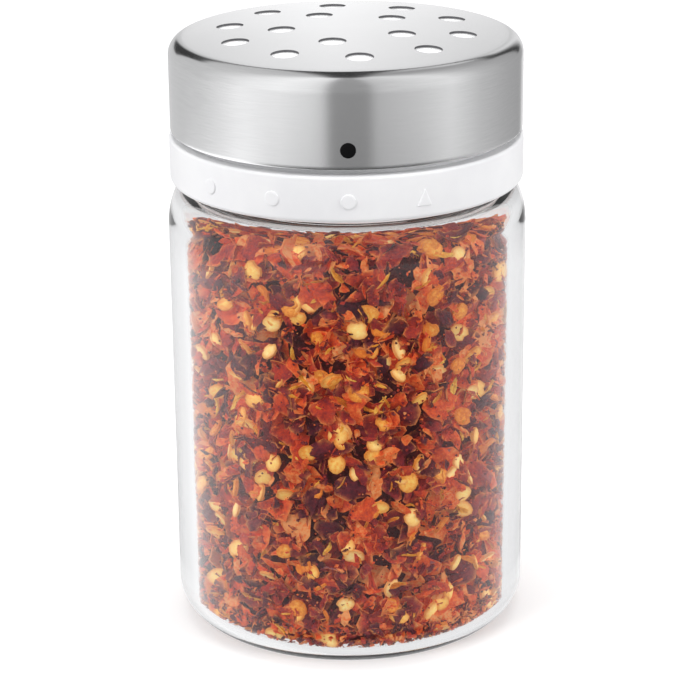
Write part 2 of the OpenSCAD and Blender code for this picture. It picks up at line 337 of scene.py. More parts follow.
class Graph:
    """A node tree that is filled one node at a time."""

    def __init__(self, tree: bpy.types.NodeTree) -> None:
        """Keeps the tree and clears what it starts with."""
        self.tree = tree
        tree.nodes.clear()

    def feed(self, node: bpy.types.Node, inputs: Mapping[str | int, Value]) -> None:
        """Sets some of a node's inputs.

        Args:
            node: The node.
            inputs: A value or another node's output socket for each input.
        """
        for key, value in inputs.items():
            if isinstance(value, bpy.types.NodeSocket):
                self.tree.links.new(value, node.inputs[key])
            else:
                node.inputs[key].default_value = value

    def add(
        self, kind: str, inputs: Mapping[str | int, Value] | None = None, **settings: str | bool
    ) -> bpy.types.Node:
        """Adds a node.

        Args:
            kind: The node's type name.
            inputs: A value or another node's output socket for each input.
            **settings: The node's own properties, set before its inputs.

        Returns:
            The new node.
        """
        node = self.tree.nodes.new(kind)
        for key, value in settings.items():
            setattr(node, key, value)
        self.feed(node, inputs or {})
        return node

    def math(self, operation: str, *values: Value) -> Socket:
        """Adds a Math node and returns its result."""
        kind = "ShaderNodeMath"
        return self.add(kind, dict(enumerate(values)), operation=operation).outputs[0]

    def product(self, first: Value, *others: Value) -> Value:
        """The product of several values.

        Args:
            first: The first value.
            *others: The values that it is multiplied by, one after another.

        Returns:
            The product's socket.
        """
        for other in others:
            first = self.math("MULTIPLY", first, other)
        return first

    def clamp(self, value: Value, high: float = 1.0) -> Socket:
        """A value that is kept between zero and a highest value."""
        return self.math("MINIMUM", self.math("MAXIMUM", value, 0.0), high)

    def step(self, value: Value, start: float, width: float) -> Socket:
        """A share that climbs from 0 to 1 beyond a start, or before it where the width is negative."""
        return self.clamp(self.math("DIVIDE", self.math("SUBTRACT", value, start), width))

    def choose(self, switch: Value, yes: Value, no: Value) -> Socket:
        """A value that goes over from one to another as a switch goes from 1 to 0."""
        return self.math("MULTIPLY_ADD", switch, self.math("SUBTRACT", yes, no), no)

    def split(self, vector: Value) -> Sequence[Socket]:
        """The three parts of a vector."""
        return self.add("ShaderNodeSeparateXYZ", {"Vector": vector}).outputs

    def vector(self, *parts: Value) -> Socket:
        """The vector that three parts make."""
        return self.add("ShaderNodeCombineXYZ", dict(enumerate(parts))).outputs[0]

    def axis_distance(self, point: Value) -> Socket:
        """How far a point is from the Z axis."""
        x, y, _ = self.split(point)
        return self.math("SQRT", self.math("ADD", self.product(x, x), self.product(y, y)))

    def random(self, low: Value, high: Value, seed: Value, data_type: str = "FLOAT") -> Socket:
        """Adds a Random Value node and returns its result.

        Args:
            low: The lowest value or a socket.
            high: The highest value or a socket.
            seed: A fixed seed, or a socket that holds one.
            data_type: FLOAT, FLOAT_VECTOR or INT.

        Returns:
            The random value's socket.
        """
        first = {"FLOAT_VECTOR": 0, "FLOAT": 2, "INT": 4}[data_type]
        inputs = {first: low, first + 1: high, "Seed": seed}
        node = self.add("FunctionNodeRandomValue", inputs, data_type=data_type)
        return node.outputs[first // 2]

    def point(self) -> Socket:
        """The object coordinate of the shaded point."""
        return self.add("ShaderNodeTexCoord").outputs["Object"]

    def noise(self, point: Value, scale: float, detail: float = 2.0, rough: float = 0.5) -> Socket:
        """A noise value between 0 and 1 at a point."""
        inputs = {"Vector": point, "Scale": scale, "Detail": detail, "Roughness": rough}
        return self.add("ShaderNodeTexNoise", inputs).outputs["Fac"]

    def ramp(self, value: Value, stops: Sequence[tuple[float, Sequence[float]]]) -> Socket:
        """A colour ramp's colour at a value.

        Args:
            value: The socket that drives the ramp.
            stops: Pairs of position and colour.

        Returns:
            The colour socket.
        """
        node = self.add("ShaderNodeValToRGB", {"Fac": value})
        elements = node.color_ramp.elements
        for element, (position, colour) in zip(elements, (stops[0], stops[-1])):
            element.position = position
            element.color = colour
        for position, colour in stops[1:-1]:
            elements.new(position).color = colour
        return node.outputs["Color"]

    def tones(self, value: Value, dark: Colour, light: Colour) -> Socket:
        """The colour between a dark and a light one that a noise value picks."""
        return self.ramp(value, list(zip(TONE_ENDS, (linear(dark), linear(light)))))

    def blend(self, share: Value, first: Value, second: Value) -> Socket:
        """The colour that holds a share of the second colour and the rest of the first."""
        inputs = {0: share, 6: first, 7: second}
        return self.add("ShaderNodeMix", inputs, data_type="RGBA", clamp_factor=True).outputs[2]

    def bump(self, height: Value, distance: float) -> Socket:
        """The normal of a surface that a height raises by up to a distance."""
        return self.add("ShaderNodeBump", {"Height": height, "Distance": distance}).outputs["Normal"]

    def mix_shaders(self, share: Value, first: bpy.types.Node, second: bpy.types.Node) -> Socket:
        """The shader that holds a share of the second shader and the rest of the first."""
        inputs = {0: share, 1: first.outputs[0], 2: second.outputs[0]}
        return self.add("ShaderNodeMixShader", inputs).outputs[0]


class MaterialGraph(Graph):
    """The node tree of a new material, which starts with a Principled shader."""

    def __init__(self, name: str) -> None:
        """Makes the material and the two nodes that it starts with.

        Args:
            name: The material's name.
        """
        self.material = bpy.data.materials.new(name)
        self.material.use_nodes = True
        super().__init__(self.material.node_tree)
        self.shader = self.add("ShaderNodeBsdfPrincipled")
        self.output = self.add("ShaderNodeOutputMaterial", {"Surface": self.shader.outputs[0]})


def geometry_tree(name: str, inputs: Mapping[str, str]) -> tuple[Graph, dict[str, Socket]]:
    """Starts a Geometry Nodes tree with named inputs and one geometry output.

    Args:
        name: The tree's name.
        inputs: Socket type for each input's name.

    Returns:
        The graph, and the output socket of each named input.
    """
    tree = bpy.data.node_groups.new(name, "GeometryNodeTree")
    graph = Graph(tree)
    for label, kind in inputs.items():
        tree.interface.new_socket(name=label, in_out="INPUT", socket_type=kind)
    tree.interface.new_socket(name="Geometry", in_out="OUTPUT", socket_type="NodeSocketGeometry")
    source = graph.add("NodeGroupInput")
    return graph, {label: source.outputs[label] for label in inputs}


def close_tree(graph: Graph, geometry: Socket, finish: Socket) -> bpy.types.NodeTree:
    """Ends a Geometry Nodes tree with real geometry that wears a material.

    Args:
        graph: The tree's graph.
        geometry: The geometry, which may hold instances.
        finish: The socket that holds the material.

    Returns:
        The finished tree.
    """
    real = graph.add("GeometryNodeRealizeInstances", {"Geometry": geometry}).outputs[0]
    dressed = graph.add("GeometryNodeSetMaterial", {"Geometry": real, "Material": finish})
    graph.add("NodeGroupOutput", {"Geometry": dressed.outputs[0]})
    return graph.tree


def run_tree(
    name: str,
    tree: bpy.types.NodeTree,
    values: Mapping[str, float | bpy.types.ID],
    base: bpy.types.Mesh,
) -> bpy.types.Object:
    """Runs a Geometry Nodes tree and keeps its result as a plain mesh.

    Args:
        name: The new object's name.
        tree: The tree to run.
        values: A value for each of the tree's named inputs.
        base: The mesh that the tree starts from.

    Returns:
        An object with the finished mesh and no modifier.
    """
    obj = new_object(name, base)
    modifier = obj.modifiers.new("grow", "NODES")
    modifier.node_group = tree
    for item in tree.interface.items_tree:
        if item.in_out == "INPUT" and item.name in values:
            modifier[item.identifier] = values[item.name]
    return apply_modifiers(obj)


def turned_copies_tree() -> bpy.types.NodeTree:
    """Makes the tree that copies a piece round the Z axis at equal steps, in degrees.

    Returns:
        The tree.
    """
    graph, given = geometry_tree(
        "turned_copies",
        {
            "Piece": "NodeSocketGeometry",
            "Count": "NodeSocketInt",
            "Start": "NodeSocketFloat",
            "Step": "NodeSocketFloat",
            "Finish": "NodeSocketMaterial",
        },
    )
    index = graph.add("GeometryNodeInputIndex").outputs[0]
    turn = graph.math("RADIANS", graph.math("MULTIPLY_ADD", index, given["Step"], given["Start"]))
    spin = graph.add("FunctionNodeEulerToRotation", {0: graph.vector(0.0, 0.0, turn)}).outputs[0]
    points = graph.add("GeometryNodePoints", {"Count": given["Count"]}).outputs[0]
    inputs = {"Points": points, "Instance": given["Piece"], "Rotation": spin}
    placed = graph.add("GeometryNodeInstanceOnPoints", inputs).outputs[0]
    return close_tree(graph, placed, given["Finish"])


def turned_copies(
    piece: bpy.types.Object, count: int, start: float, step: float, finish: bpy.types.Material
) -> bpy.types.Object:
    """Copies an object round the Z axis and removes the original.

    Args:
        piece: The object to copy, placed as it is at azimuth 0.
        count: How many copies are made.
        start: The first copy's azimuth in degrees.
        step: The turn from one copy to the next in degrees.
        finish: The copies' material.

    Returns:
        One object that holds all the copies.
    """
    tree = bpy.data.node_groups.get("turned_copies") or turned_copies_tree()
    values = {"Count": count, "Start": start, "Step": step, "Finish": finish}
    made = run_tree(piece.name + "_copies", tree, values, piece.data)
    bpy.data.objects.remove(piece)
    return made


# ---------------------------------------------------------------- finishes


def linear(colour: Colour) -> Linear:
    """A display colour from 0 to 255 as the linear colour that shaders take.

    Args:
        colour: Red, green and blue.

    Returns:
        The linear red, green and blue, and a 1 for opaque.
    """
    shares = (value / 255 for value in colour)
    red, green, blue = (s / 12.92 if s <= 0.04045 else ((s + 0.055) / 1.055) ** 2.4 for s in shares)
    return (red, green, blue, 1.0)


@dataclass(frozen=True)
class ClearGlass:
    """Clear moulded glass that lets lamps light what is inside it."""

    name: str = "clear_glass"
    body: Colour = (252, 253, 253)
    shadow: Linear = (0.96, 0.965, 0.965, 1.0)
    ior: float = 1.5
    sheen: float = 0.7
    ripple_scale: float = 90.0
    ripple: float = 0.02 * MM

    def material(self) -> bpy.types.Material:
        """Makes the material.

        Returns:
            The material, whose shadows let light through.
        """
        graph = MaterialGraph(self.name)
        height = graph.noise(graph.point(), self.ripple_scale)
        graph.feed(
            graph.shader,
            {
                "Base Color": linear(self.body),
                "Transmission Weight": 1.0,
                "Roughness": 0.0,
                "IOR": self.ior,
                "Specular Tint": (self.sheen, self.sheen, self.sheen, 1.0),
                "Normal": graph.bump(height, self.ripple),
            },
        )
        clear = graph.add("ShaderNodeBsdfTransparent", {"Color": self.shadow})
        shadow_ray = graph.add("ShaderNodeLightPath").outputs["Is Shadow Ray"]
        graph.feed(graph.output, {"Surface": graph.mix_shaders(shadow_ray, graph.shader, clear)})
        return graph.material


@dataclass(frozen=True)
class BrushedSteel:
    """Stainless steel brushed round the axis."""

    name: str = "brushed_steel"
    roughness: float = 0.17
    roughness_span: float = 0.15
    anisotropy: float = 0.35
    brush_turn: float = 0.25
    dark: Colour = (203, 204, 204)
    light: Colour = (217, 217, 217)
    line_width: float = 0.05 * MM
    line_share: float = 7.0
    line_depth: float = 0.0005 * MM
    broad_scale: float = 45.0
    broad_share: float = 0.25
    middle: float = 0.01 * MM

    def material(self) -> bpy.types.Material:
        """Makes the material.

        Returns:
            The material, whose brush lines are circles about the Z axis.
        """
        graph = MaterialGraph(self.name)
        place = graph.point()
        x, y, z = graph.split(place)
        radius = graph.axis_distance(place)
        safe = graph.math("MAXIMUM", radius, self.middle)
        point = graph.vector(
            graph.product(graph.math("DIVIDE", x, safe), self.line_share),
            graph.product(graph.math("DIVIDE", y, safe), self.line_share),
            graph.math("DIVIDE", graph.math("SUBTRACT", radius, z), self.line_width),
        )
        lines = graph.noise(point, 1.0, detail=3.0, rough=0.6)
        broad = graph.noise(place, self.broad_scale)
        fine = graph.product(lines, 1.0 - self.broad_share)
        tone = graph.math("ADD", fine, graph.product(broad, self.broad_share))
        off_middle = graph.math("SUBTRACT", tone, 0.5)
        graph.feed(
            graph.shader,
            {
                "Base Color": graph.tones(tone, self.dark, self.light),
                "Metallic": 1.0,
                "Roughness": graph.math(
                    "MULTIPLY_ADD", off_middle, self.roughness_span, self.roughness
                ),
                "Anisotropic": self.anisotropy,
                "Anisotropic Rotation": self.brush_turn,
                "Tangent": graph.add(
                    "ShaderNodeTangent", direction_type="RADIAL", axis="Z"
                ).outputs[0],
                "Normal": graph.bump(lines, self.line_depth),
            },
        )
        return graph.material


CAP_STEEL = BrushedSteel()
# The hole walls' steel is rougher as cut, and darker as painted shade inside the holes.
SHADED_CUT_STEEL = BrushedSteel("cut_steel", roughness=0.4, dark=(84, 84, 86), light=(112, 112, 114))


@dataclass(frozen=True)
class MouldedPlastic:
    """Satin moulded plastic or rubber with a faint grain.

    Where glow is set, faces near the axis and low down glow with no lamp behind them: painted light that
    lifts their shade.
    """

    name: str
    dark: Colour
    light: Colour
    roughness: float = 0.4
    roughness_span: float = 0.08
    cloud_scale: float = 120.0
    grain_scale: float = 2500.0
    grain: float = 0.006 * MM
    specular: float = 0.5
    # Painted light: the strength of the glow near the axis and low down, and where that glow stops.
    glow: float = 0.0
    painted_glow_within: float = 0.0
    painted_glow_below: float = 0.0

    def material(self) -> bpy.types.Material:
        """Makes the material.

        Returns:
            The material, which glows near the axis and low down where it glows at all, as painted light.
        """
        graph = MaterialGraph(self.name)
        point = graph.point()
        cloud = graph.noise(point, self.cloud_scale, detail=3.0)
        grain = graph.noise(point, self.grain_scale, detail=1.0)
        smoothest = self.roughness - self.roughness_span / 2
        graph.feed(
            graph.shader,
            {
                "Base Color": graph.tones(cloud, self.dark, self.light),
                "Roughness": graph.math("MULTIPLY_ADD", grain, self.roughness_span, smoothest),
                "Normal": graph.bump(grain, self.grain),
                "Specular IOR Level": self.specular,
            },
        )
        # Painted light: faces near the axis or low down glow.
        if self.glow > 0:
            inside = graph.math("LESS_THAN", graph.axis_distance(point), self.painted_glow_within)
            beneath = graph.math("LESS_THAN", graph.split(point)[2], self.painted_glow_below)
            painted_glow_area = graph.math("MAXIMUM", inside, beneath)
            graph.feed(graph.shader, {"Emission Strength": graph.product(painted_glow_area, self.glow)})
        return graph.material


@dataclass(frozen=True)
class DriedSkin:
    """Dried pod skin, pith or seed, coloured by each bit's own tone and side, with a rim colour that is
    partly the edges' own and partly painted light: a painted highlight on light rims and painted shade on
    dark ones. Each bit also glows in its own colour, as painted light.
    """

    name: str
    stops: tuple[tuple[float, Colour], ...]
    # The rim colour is partly the edges' own colour and partly painted light: a painted highlight where
    # it is lighter than the body, painted shade where it is darker. It shows in patches where the broad
    # noise passes the rim level.
    rim: Colour
    rim_share: float = 0.5
    rim_power: float = 7.0
    rim_level: float = 0.44
    rim_contrast: float = 7.0
    bloom: Colour = (140, 94, 98)
    bloom_share: float = 0.0
    dusty_bands: float = 13.7
    dusty_from: float = 0.84
    side_shift: float = 0.0
    tone_span: float = 0.8
    # Painted light: each bit glows in its own colour, which lifts its shade.
    glow: float = 0.2
    specular: float = 0.25
    roughness: float = 0.45
    roughness_span: float = 0.3
    mottle: float = 1.3
    patch_scale: float = 600.0
    wrinkle_scale: float = 1700.0
    wrinkle: float = 0.12 * MM

    def body(self, graph: Graph, tone: Socket, side: Socket, patches: Socket, wrinkles: Socket) -> Socket:
        """The colour between the rims: mottled, and veiled by dust on some bits' inner side.

        Args:
            graph: The material's graph.
            tone: The bit's own tone from 0 to 1.
            side: 1 on the outer side and 0 on the inner one.
            patches: A broad noise.
            wrinkles: A fine noise.

        Returns:
            The colour's socket.
        """
        spread = graph.product(graph.math("SUBTRACT", patches, 0.5), self.mottle)
        grain = graph.product(graph.math("SUBTRACT", wrinkles, 0.5), self.mottle)
        place = graph.math("ADD", spread, grain)
        place = graph.math("MULTIPLY_ADD", tone, self.tone_span, place)
        place = graph.math("MULTIPLY_ADD", side, self.side_shift, place)
        band = graph.math("FRACT", graph.product(tone, self.dusty_bands))
        dusty = graph.math("GREATER_THAN", band, self.dusty_from)
        dusty = graph.product(dusty, graph.math("SUBTRACT", 1.0, side))
        veil = graph.product(dusty, graph.product(patches, 2 * self.bloom_share))
        colour = graph.ramp(place, [(position, linear(stop)) for position, stop in self.stops])
        return graph.blend(veil, colour, linear(self.bloom))

    def material(self) -> bpy.types.Material:
        """Makes the material.

        Returns:
            The material, which reads the mesh attributes tone, rim and side.
        """
        graph = MaterialGraph(self.name)
        point = graph.point()
        tone, rim, side = (
            graph.add("ShaderNodeAttribute", attribute_name=label).outputs["Fac"]
            for label in ("tone", "rim", "side")
        )
        patches = graph.noise(point, self.patch_scale, detail=4.0, rough=0.7)
        wrinkles = graph.noise(point, self.wrinkle_scale, detail=3.0, rough=0.7)
        body = self.body(graph, tone, side, patches, wrinkles)
        # The rims take the rim colour in patches: partly their own colour, partly painted highlight on
        # light rims and painted shade on dark ones.
        edge = graph.product(graph.math("POWER", rim, self.rim_power), self.rim_share)
        rim_paint_patches = graph.product(graph.math("SUBTRACT", patches, self.rim_level), self.rim_contrast)
        edge = graph.product(edge, graph.clamp(rim_paint_patches))
        colour = graph.blend(edge, body, linear(self.rim))
        smoothest = self.roughness - self.roughness_span / 2
        graph.feed(
            graph.shader,
            {
                "Base Color": colour,
                # Painted light: the bit glows in its own colour.
                "Emission Color": colour,
                "Emission Strength": self.glow,
                "Roughness": graph.math("MULTIPLY_ADD", wrinkles, self.roughness_span, smoothest),
                "Specular IOR Level": self.specular,
                "Normal": graph.bump(wrinkles, self.wrinkle),
            },
        )
        return graph.material


WHITE_PLASTIC = MouldedPlastic("white_plastic", (236, 236, 238), (243, 243, 244), 0.38)
# The plate glows all over: painted light that lifts the shade under the cap's holes.
PLATE_PLASTIC = replace(WHITE_PLASTIC, name="plate_plastic", glow=0.25, painted_glow_within=40 * MM)
# The collar glows on its inside faces and its underside: painted light that lifts the shade under the cap
# and beneath the band.
COLLAR_PLASTIC = replace(
    WHITE_PLASTIC,
    name="collar_plastic",
    dark=(239, 239, 241),
    light=(245, 245, 246),
    glow=0.36,
    painted_glow_within=30 * MM,
    painted_glow_below=85.8 * MM,
)
LINER_PLASTIC = MouldedPlastic("liner_plastic", (228, 228, 230), (236, 236, 238), 0.5)
SILICONE = MouldedPlastic("silicone", (222, 222, 220), (232, 232, 230), 0.6)
BLACK_PLASTIC = MouldedPlastic("black_plastic", (8, 8, 9), (13, 13, 14), 0.5, specular=0.12)
# The skin's light rims are partly painted highlight, and its glow is painted light.
SKIN = DriedSkin(
    "chili_skin",
    (
        (0.0, (62, 24, 36)),
        (0.2, (102, 34, 46)),
        (0.42, (152, 48, 50)),
        (0.62, (204, 68, 46)),
        (0.8, (240, 94, 44)),
        (0.93, (248, 134, 70)),
        (1.0, (250, 168, 106)),
    ),
    rim=(250, 158, 88),
    rim_share=0.8,
    bloom=(142, 98, 112),
    bloom_share=0.8,
    side_shift=0.08,
    tone_span=0.94,
    glow=0.1,
    mottle=0.62,
    patch_scale=420.0,
)
# Grit keeps the skin's painted rim highlight and glow.
GRIT = replace(SKIN, name="chili_grit", bloom_share=0.0)
# The pith glows a little as painted light, and its light rims are partly painted highlight.
PITH = DriedSkin(
    "golden_pith",
    ((0.0, (190, 96, 28)), (0.5, (228, 152, 48)), (1.0, (246, 206, 104))),
    rim=(246, 206, 110),
    mottle=0.8,
)
# Seeds glow strongly as painted light, and their darker rims are partly painted shade.
SEED_COAT = DriedSkin(
    "seed_coat",
    (
        (0.0, (204, 106, 38)),
        (0.2, (228, 150, 60)),
        (0.4, (242, 190, 98)),
        (0.7, (250, 212, 132)),
        (1.0, (253, 232, 172)),
    ),
    rim=(196, 104, 38),
    rim_share=0.75,
    rim_power=3.0,
    rim_level=0.2,
    glow=0.42,
    roughness=0.4,
    mottle=0.7,
    patch_scale=1100.0,
    wrinkle=0.05 * MM,
)
# Painted shade: the core's dark colours stand for the shadowed flakes between the loose bits, and its
# glow is painted light.
DEEP_SHADE_FLAKES = DriedSkin(
    "deep_flakes",
    ((0.0, (52, 18, 24)), (0.5, (90, 32, 34)), (1.0, (150, 58, 40))),
    rim=(96, 34, 26),
    rim_share=0.0,
    mottle=1.4,
    wrinkle=0.3 * MM,
)


# ---------------------------------------------------------------- jar


@dataclass(frozen=True)
class Thread:
    """The right-hand thread that the jar's neck and the collar share."""

    lead: float = 12.0 * MM
    starts: int = 3
    height: float = 0.7 * MM
    crest: float = 0.35 * MM
    foot: float = 0.9 * MM
    low: float = 88.4 * MM
    high: float = 94.4 * MM
    run_out: float = 0.7 * MM
    row: float = 0.22 * MM
    near: float = 0.01 * MM

    def rows(self, radius: float, start: float, end: float) -> list[Point]:
        """Points up or down a straight wall, close enough to carry the thread."""
        count = max(2, round(abs(end - start) / self.row))
        return [(radius, float(z)) for z in np.linspace(start, end, count + 1)[1:-1]]

    def raise_on(self, obj: bpy.types.Object, radius: float, outwards: float, shift: float) -> None:
        """Raises the ridges on a turned wall by moving its points.

        Args:
            obj: The turned object.
            radius: The radius of the wall that carries the thread.
            outwards: 1 for a thread round a neck, -1 for one inside a bore.
            shift: How far the ridges lie above those of an unshifted thread.
        """
        mesh = obj.data
        places = np.empty(len(mesh.vertices) * 3)
        mesh.vertices.foreach_get("co", places)
        places = places.reshape(-1, 3)
        reach = np.hypot(places[:, 0], places[:, 1])
        turn = np.arctan2(places[:, 1], places[:, 0]) / (2 * math.pi)
        pitch = self.lead / self.starts
        off = places[:, 2] - shift - self.low - self.lead * turn
        off = off - pitch * np.round(off / pitch)
        centre = places[:, 2] - shift - off
        flank = np.clip((self.foot - np.abs(off)) / (self.foot - self.crest), 0.0, 1.0)
        ends = np.clip(np.minimum(centre - self.low, self.high - centre) / self.run_out, 0.0, 1.0)
        rise = self.height * (flank * flank * (3 - 2 * flank)) * np.sqrt(ends)
        rise[np.abs(reach - radius) > self.near] = 0.0
        places[:, :2] *= (1 + outwards * rise / np.maximum(reach, NONZERO))[:, None]
        mesh.vertices.foreach_set("co", places.ravel())
        mesh.update()


THREAD = Thread()


@dataclass
class Cavity:
    """The inside of the jar below its neck: a straight bore with a rounded heel and roof."""

    radius: float
    floor: float
    heel: float
    roof: float
    corner: float
    least_round: float = 0.4 * MM

    def profile(self, depth: float, level: float, edge: float, crown: float) -> list[Point]:
        """The outline of a filling that stays some way off the glass.

        Args:
            depth: How far the outline lies inside the glass.
            level: The height that the filling reaches at its edge.
            edge: The rounding of its upper edge.
            crown: How much higher its middle is.

        Returns:
            A closed outline from the floor's centre to the top's centre.
        """
        side = self.radius - depth
        heel = max(self.heel - depth, self.least_round)
        edge = max(edge - depth, self.least_round)
        low, high = self.floor + depth, level - depth
        shares = np.linspace(1.0, 0.0, 7)[1:]
        return [
            (0.0, low),
            *arc((side - heel, low + heel), heel, -90.0, 0.0, 8),
            *arc((side - edge, high - edge), edge, 0.0, 90.0, 8),
            *[((side - edge) * t, high + crown * (1 - t * t)) for t in shares],
        ]

    def foot(self, depth: float, rise: float) -> list[Point]:
        """The outline of a ring that fills the corner between the floor and the side.

        Args:
            depth: How far the ring lies inside the glass.
            rise: How far it reaches past the heel, in and up.

        Returns:
            A closed outline, from the floor round the heel to the side.
        """
        side, low = self.radius - depth, self.floor + depth
        heel = max(self.heel - depth, self.least_round)
        return [
            (side - heel - rise, low),
            *arc((side - heel, low + heel), heel, -90.0, 0.0, 8),
            (side, low + heel + rise),
        ]

    def outside(self, points: np.ndarray) -> tuple[np.ndarray, np.ndarray]:
        """How far points lie beyond the glass.

        Args:
            points: An array of places.

        Returns:
            The distance of each point beyond the glass, negative inside, and the unit vector
            that leads outwards there.
        """
        radius = np.hypot(points[:, 0], points[:, 1])
        height = points[:, 2]
        upper = height > (self.floor + self.roof) / 2
        bend = np.where(upper, self.corner, self.heel)
        across = radius - (self.radius - bend)
        up = np.where(upper, height - (self.roof - bend), (self.floor + bend) - height)
        corner = (across > 0) & (up > 0)
        reach = np.maximum(np.hypot(across, up), NONZERO)
        beyond = np.where(corner, reach, np.maximum(across, up)) - bend
        level = np.where(corner, across / reach, (across > up).astype(float))
        rise = np.where(corner, up / reach, (across <= up).astype(float))
        rise = np.where(upper, rise, -rise)
        safe = np.maximum(radius, NONZERO)
        out = np.stack([level * points[:, 0] / safe, level * points[:, 1] / safe, rise], 1)
        return beyond, out


@dataclass
class GlassJar:
    """The glass: hollow base, straight side, rounded heel and shoulder, plain neck."""

    ledge: float = 85.2 * MM
    ledge_width: float = 2.9 * MM
    wall: float = 3.2 * MM
    floor: float = 2.6 * MM
    heel: float = 6.6 * MM
    inner_heel: float = 3.2 * MM
    shoulder: float = 14.0 * MM
    roof_drop: float = 7.0 * MM
    roof_slope: float = 15.0
    roof_flat: float = 0.2 * MM
    throat_round: float = 1.2 * MM
    neck_inset: float = 5.4 * MM
    neck_wall: float = 2.8 * MM
    neck_root: float = 0.8 * MM
    rim_round: float = 0.9 * MM
    bearing: float = 4.4 * MM
    punt: float = 0.8 * MM

    def __post_init__(self) -> None:
        """Takes the outside size from the frame."""
        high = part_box("glass_jar")[1]
        self.radius = high.x
        self.rim = high.z
        self.neck = self.radius - self.neck_inset
        self.neck_bore = self.neck - self.neck_wall
        centre = self.radius - self.shoulder
        rise = math.sqrt(self.shoulder**2 - (self.neck + self.ledge_width - centre) ** 2)
        self.shoulder_centre = (centre, self.ledge - rise)
        self.shoulder_reach = math.degrees(math.asin(rise / self.shoulder))
        self.roof_low = self.ledge - self.roof_drop
        width = self.radius - self.wall - self.neck_bore - self.roof_flat
        lean = math.sin(math.radians(self.roof_slope))
        self.inner_shoulder = width / (1 - lean) - self.throat_round

    def cavity(self) -> Cavity:
        """The room inside the glass, below the neck.

        Returns:
            The cavity, whose upper corner ends where the roof begins to slope.
        """
        return Cavity(
            radius=self.radius - self.wall,
            floor=self.floor,
            heel=self.inner_heel,
            roof=self.roof_low + self.inner_shoulder,
            corner=self.inner_shoulder,
        )

    def profile(self) -> list[Point]:
        """The glass wall's outline.

        Returns:
            A closed outline: under the base, up the outside, over the rim and down the inside.
        """
        room = self.cavity()
        bearing_in = self.radius - self.heel - self.bearing
        punt_r = (bearing_in**2 + self.punt**2) / (2 * self.punt)
        punt_reach = math.degrees(math.asin(bearing_in / punt_r))
        root = self.neck + self.neck_root
        lip = self.rim_round
        slope = math.radians(self.roof_slope)
        throat = self.neck_bore + self.throat_round
        inner = room.radius - room.corner
        top = inner + room.corner * math.sin(slope)
        throat_height = (
            self.roof_low
            + room.corner * math.cos(slope)
            + (top - throat) * math.tan(slope)
            + self.throat_round / math.cos(slope)
        )
        neck_low, neck_high = self.ledge + self.neck_root, self.rim - lip
        return [
            *arc((0.0, self.punt - punt_r), punt_r, 90.0, 90.0 - punt_reach, 10),
            *arc((self.radius - self.heel, self.heel), self.heel, -90.0, 0.0, 20),
            *arc(self.shoulder_centre, self.shoulder, 0.0, self.shoulder_reach, 20),
            *arc((root, neck_low), self.neck_root, 270.0, 180.0, 8),
            *THREAD.rows(self.neck, neck_low, neck_high),
            *arc((self.neck - lip, self.rim - lip), lip, 0.0, 90.0, 8),
            *arc((self.neck_bore + lip, self.rim - lip), lip, 90.0, 180.0, 8),
            *arc((throat, throat_height), self.throat_round, 180.0, 270.0 - self.roof_slope, 8),
            *arc((inner, self.roof_low), room.corner, 90.0 - self.roof_slope, 0.0, 20),
            *arc((room.radius - room.heel, room.floor + room.heel), room.heel, 0.0, -90.0, 16),
            (0.0, room.floor),
        ]

    def build(self) -> list[bpy.types.Object]:
        """Makes the glass in place of the frame's glass_jar.

        Returns:
            The glass alone.
        """
        glass = lathe("clear_jar", self.profile(), GLASS_STEPS)
        THREAD.raise_on(glass, self.neck, 1.0, 0.0)
        wear(glass, ClearGlass().material())
        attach(glass, "jar")
        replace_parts(glass, "glass_jar")
        return [glass]


# ---------------------------------------------------------------- filling


# A bit's points lie on rings at these shares of its reach.
RING_SHARES = (0.0, 0.6, 1.0)
BIT_SHARP = 42.0

# A power above 1 favours small bits, and an instance is picked by a number up to PICKS.
SIZE_BIAS = 1.6
PICKS = 1000

# The seeds of the bits' shapes are counted from here.
SKIN_DRAWS, SEED_DRAWS, SPECK_DRAWS = 1000, 2000, 3000


class Crumb(Enum):
    """The kinds of bits in the filling."""

    SKIN = "skin"
    SHRED = "shred"
    PITH = "pith"
    SEED = "seed"
    SPECK = "speck"


def keep_values(mesh: bpy.types.Mesh, name: str, values: Sequence[float]) -> None:
    """Stores one number for each point of a mesh, for its finish to read.

    Args:
        mesh: The mesh.
        name: The attribute's name.
        values: One value for each point.
    """
    layer = mesh.attributes.new(name, "FLOAT", "POINT")
    layer.data.foreach_set("value", np.array(values, np.float32))


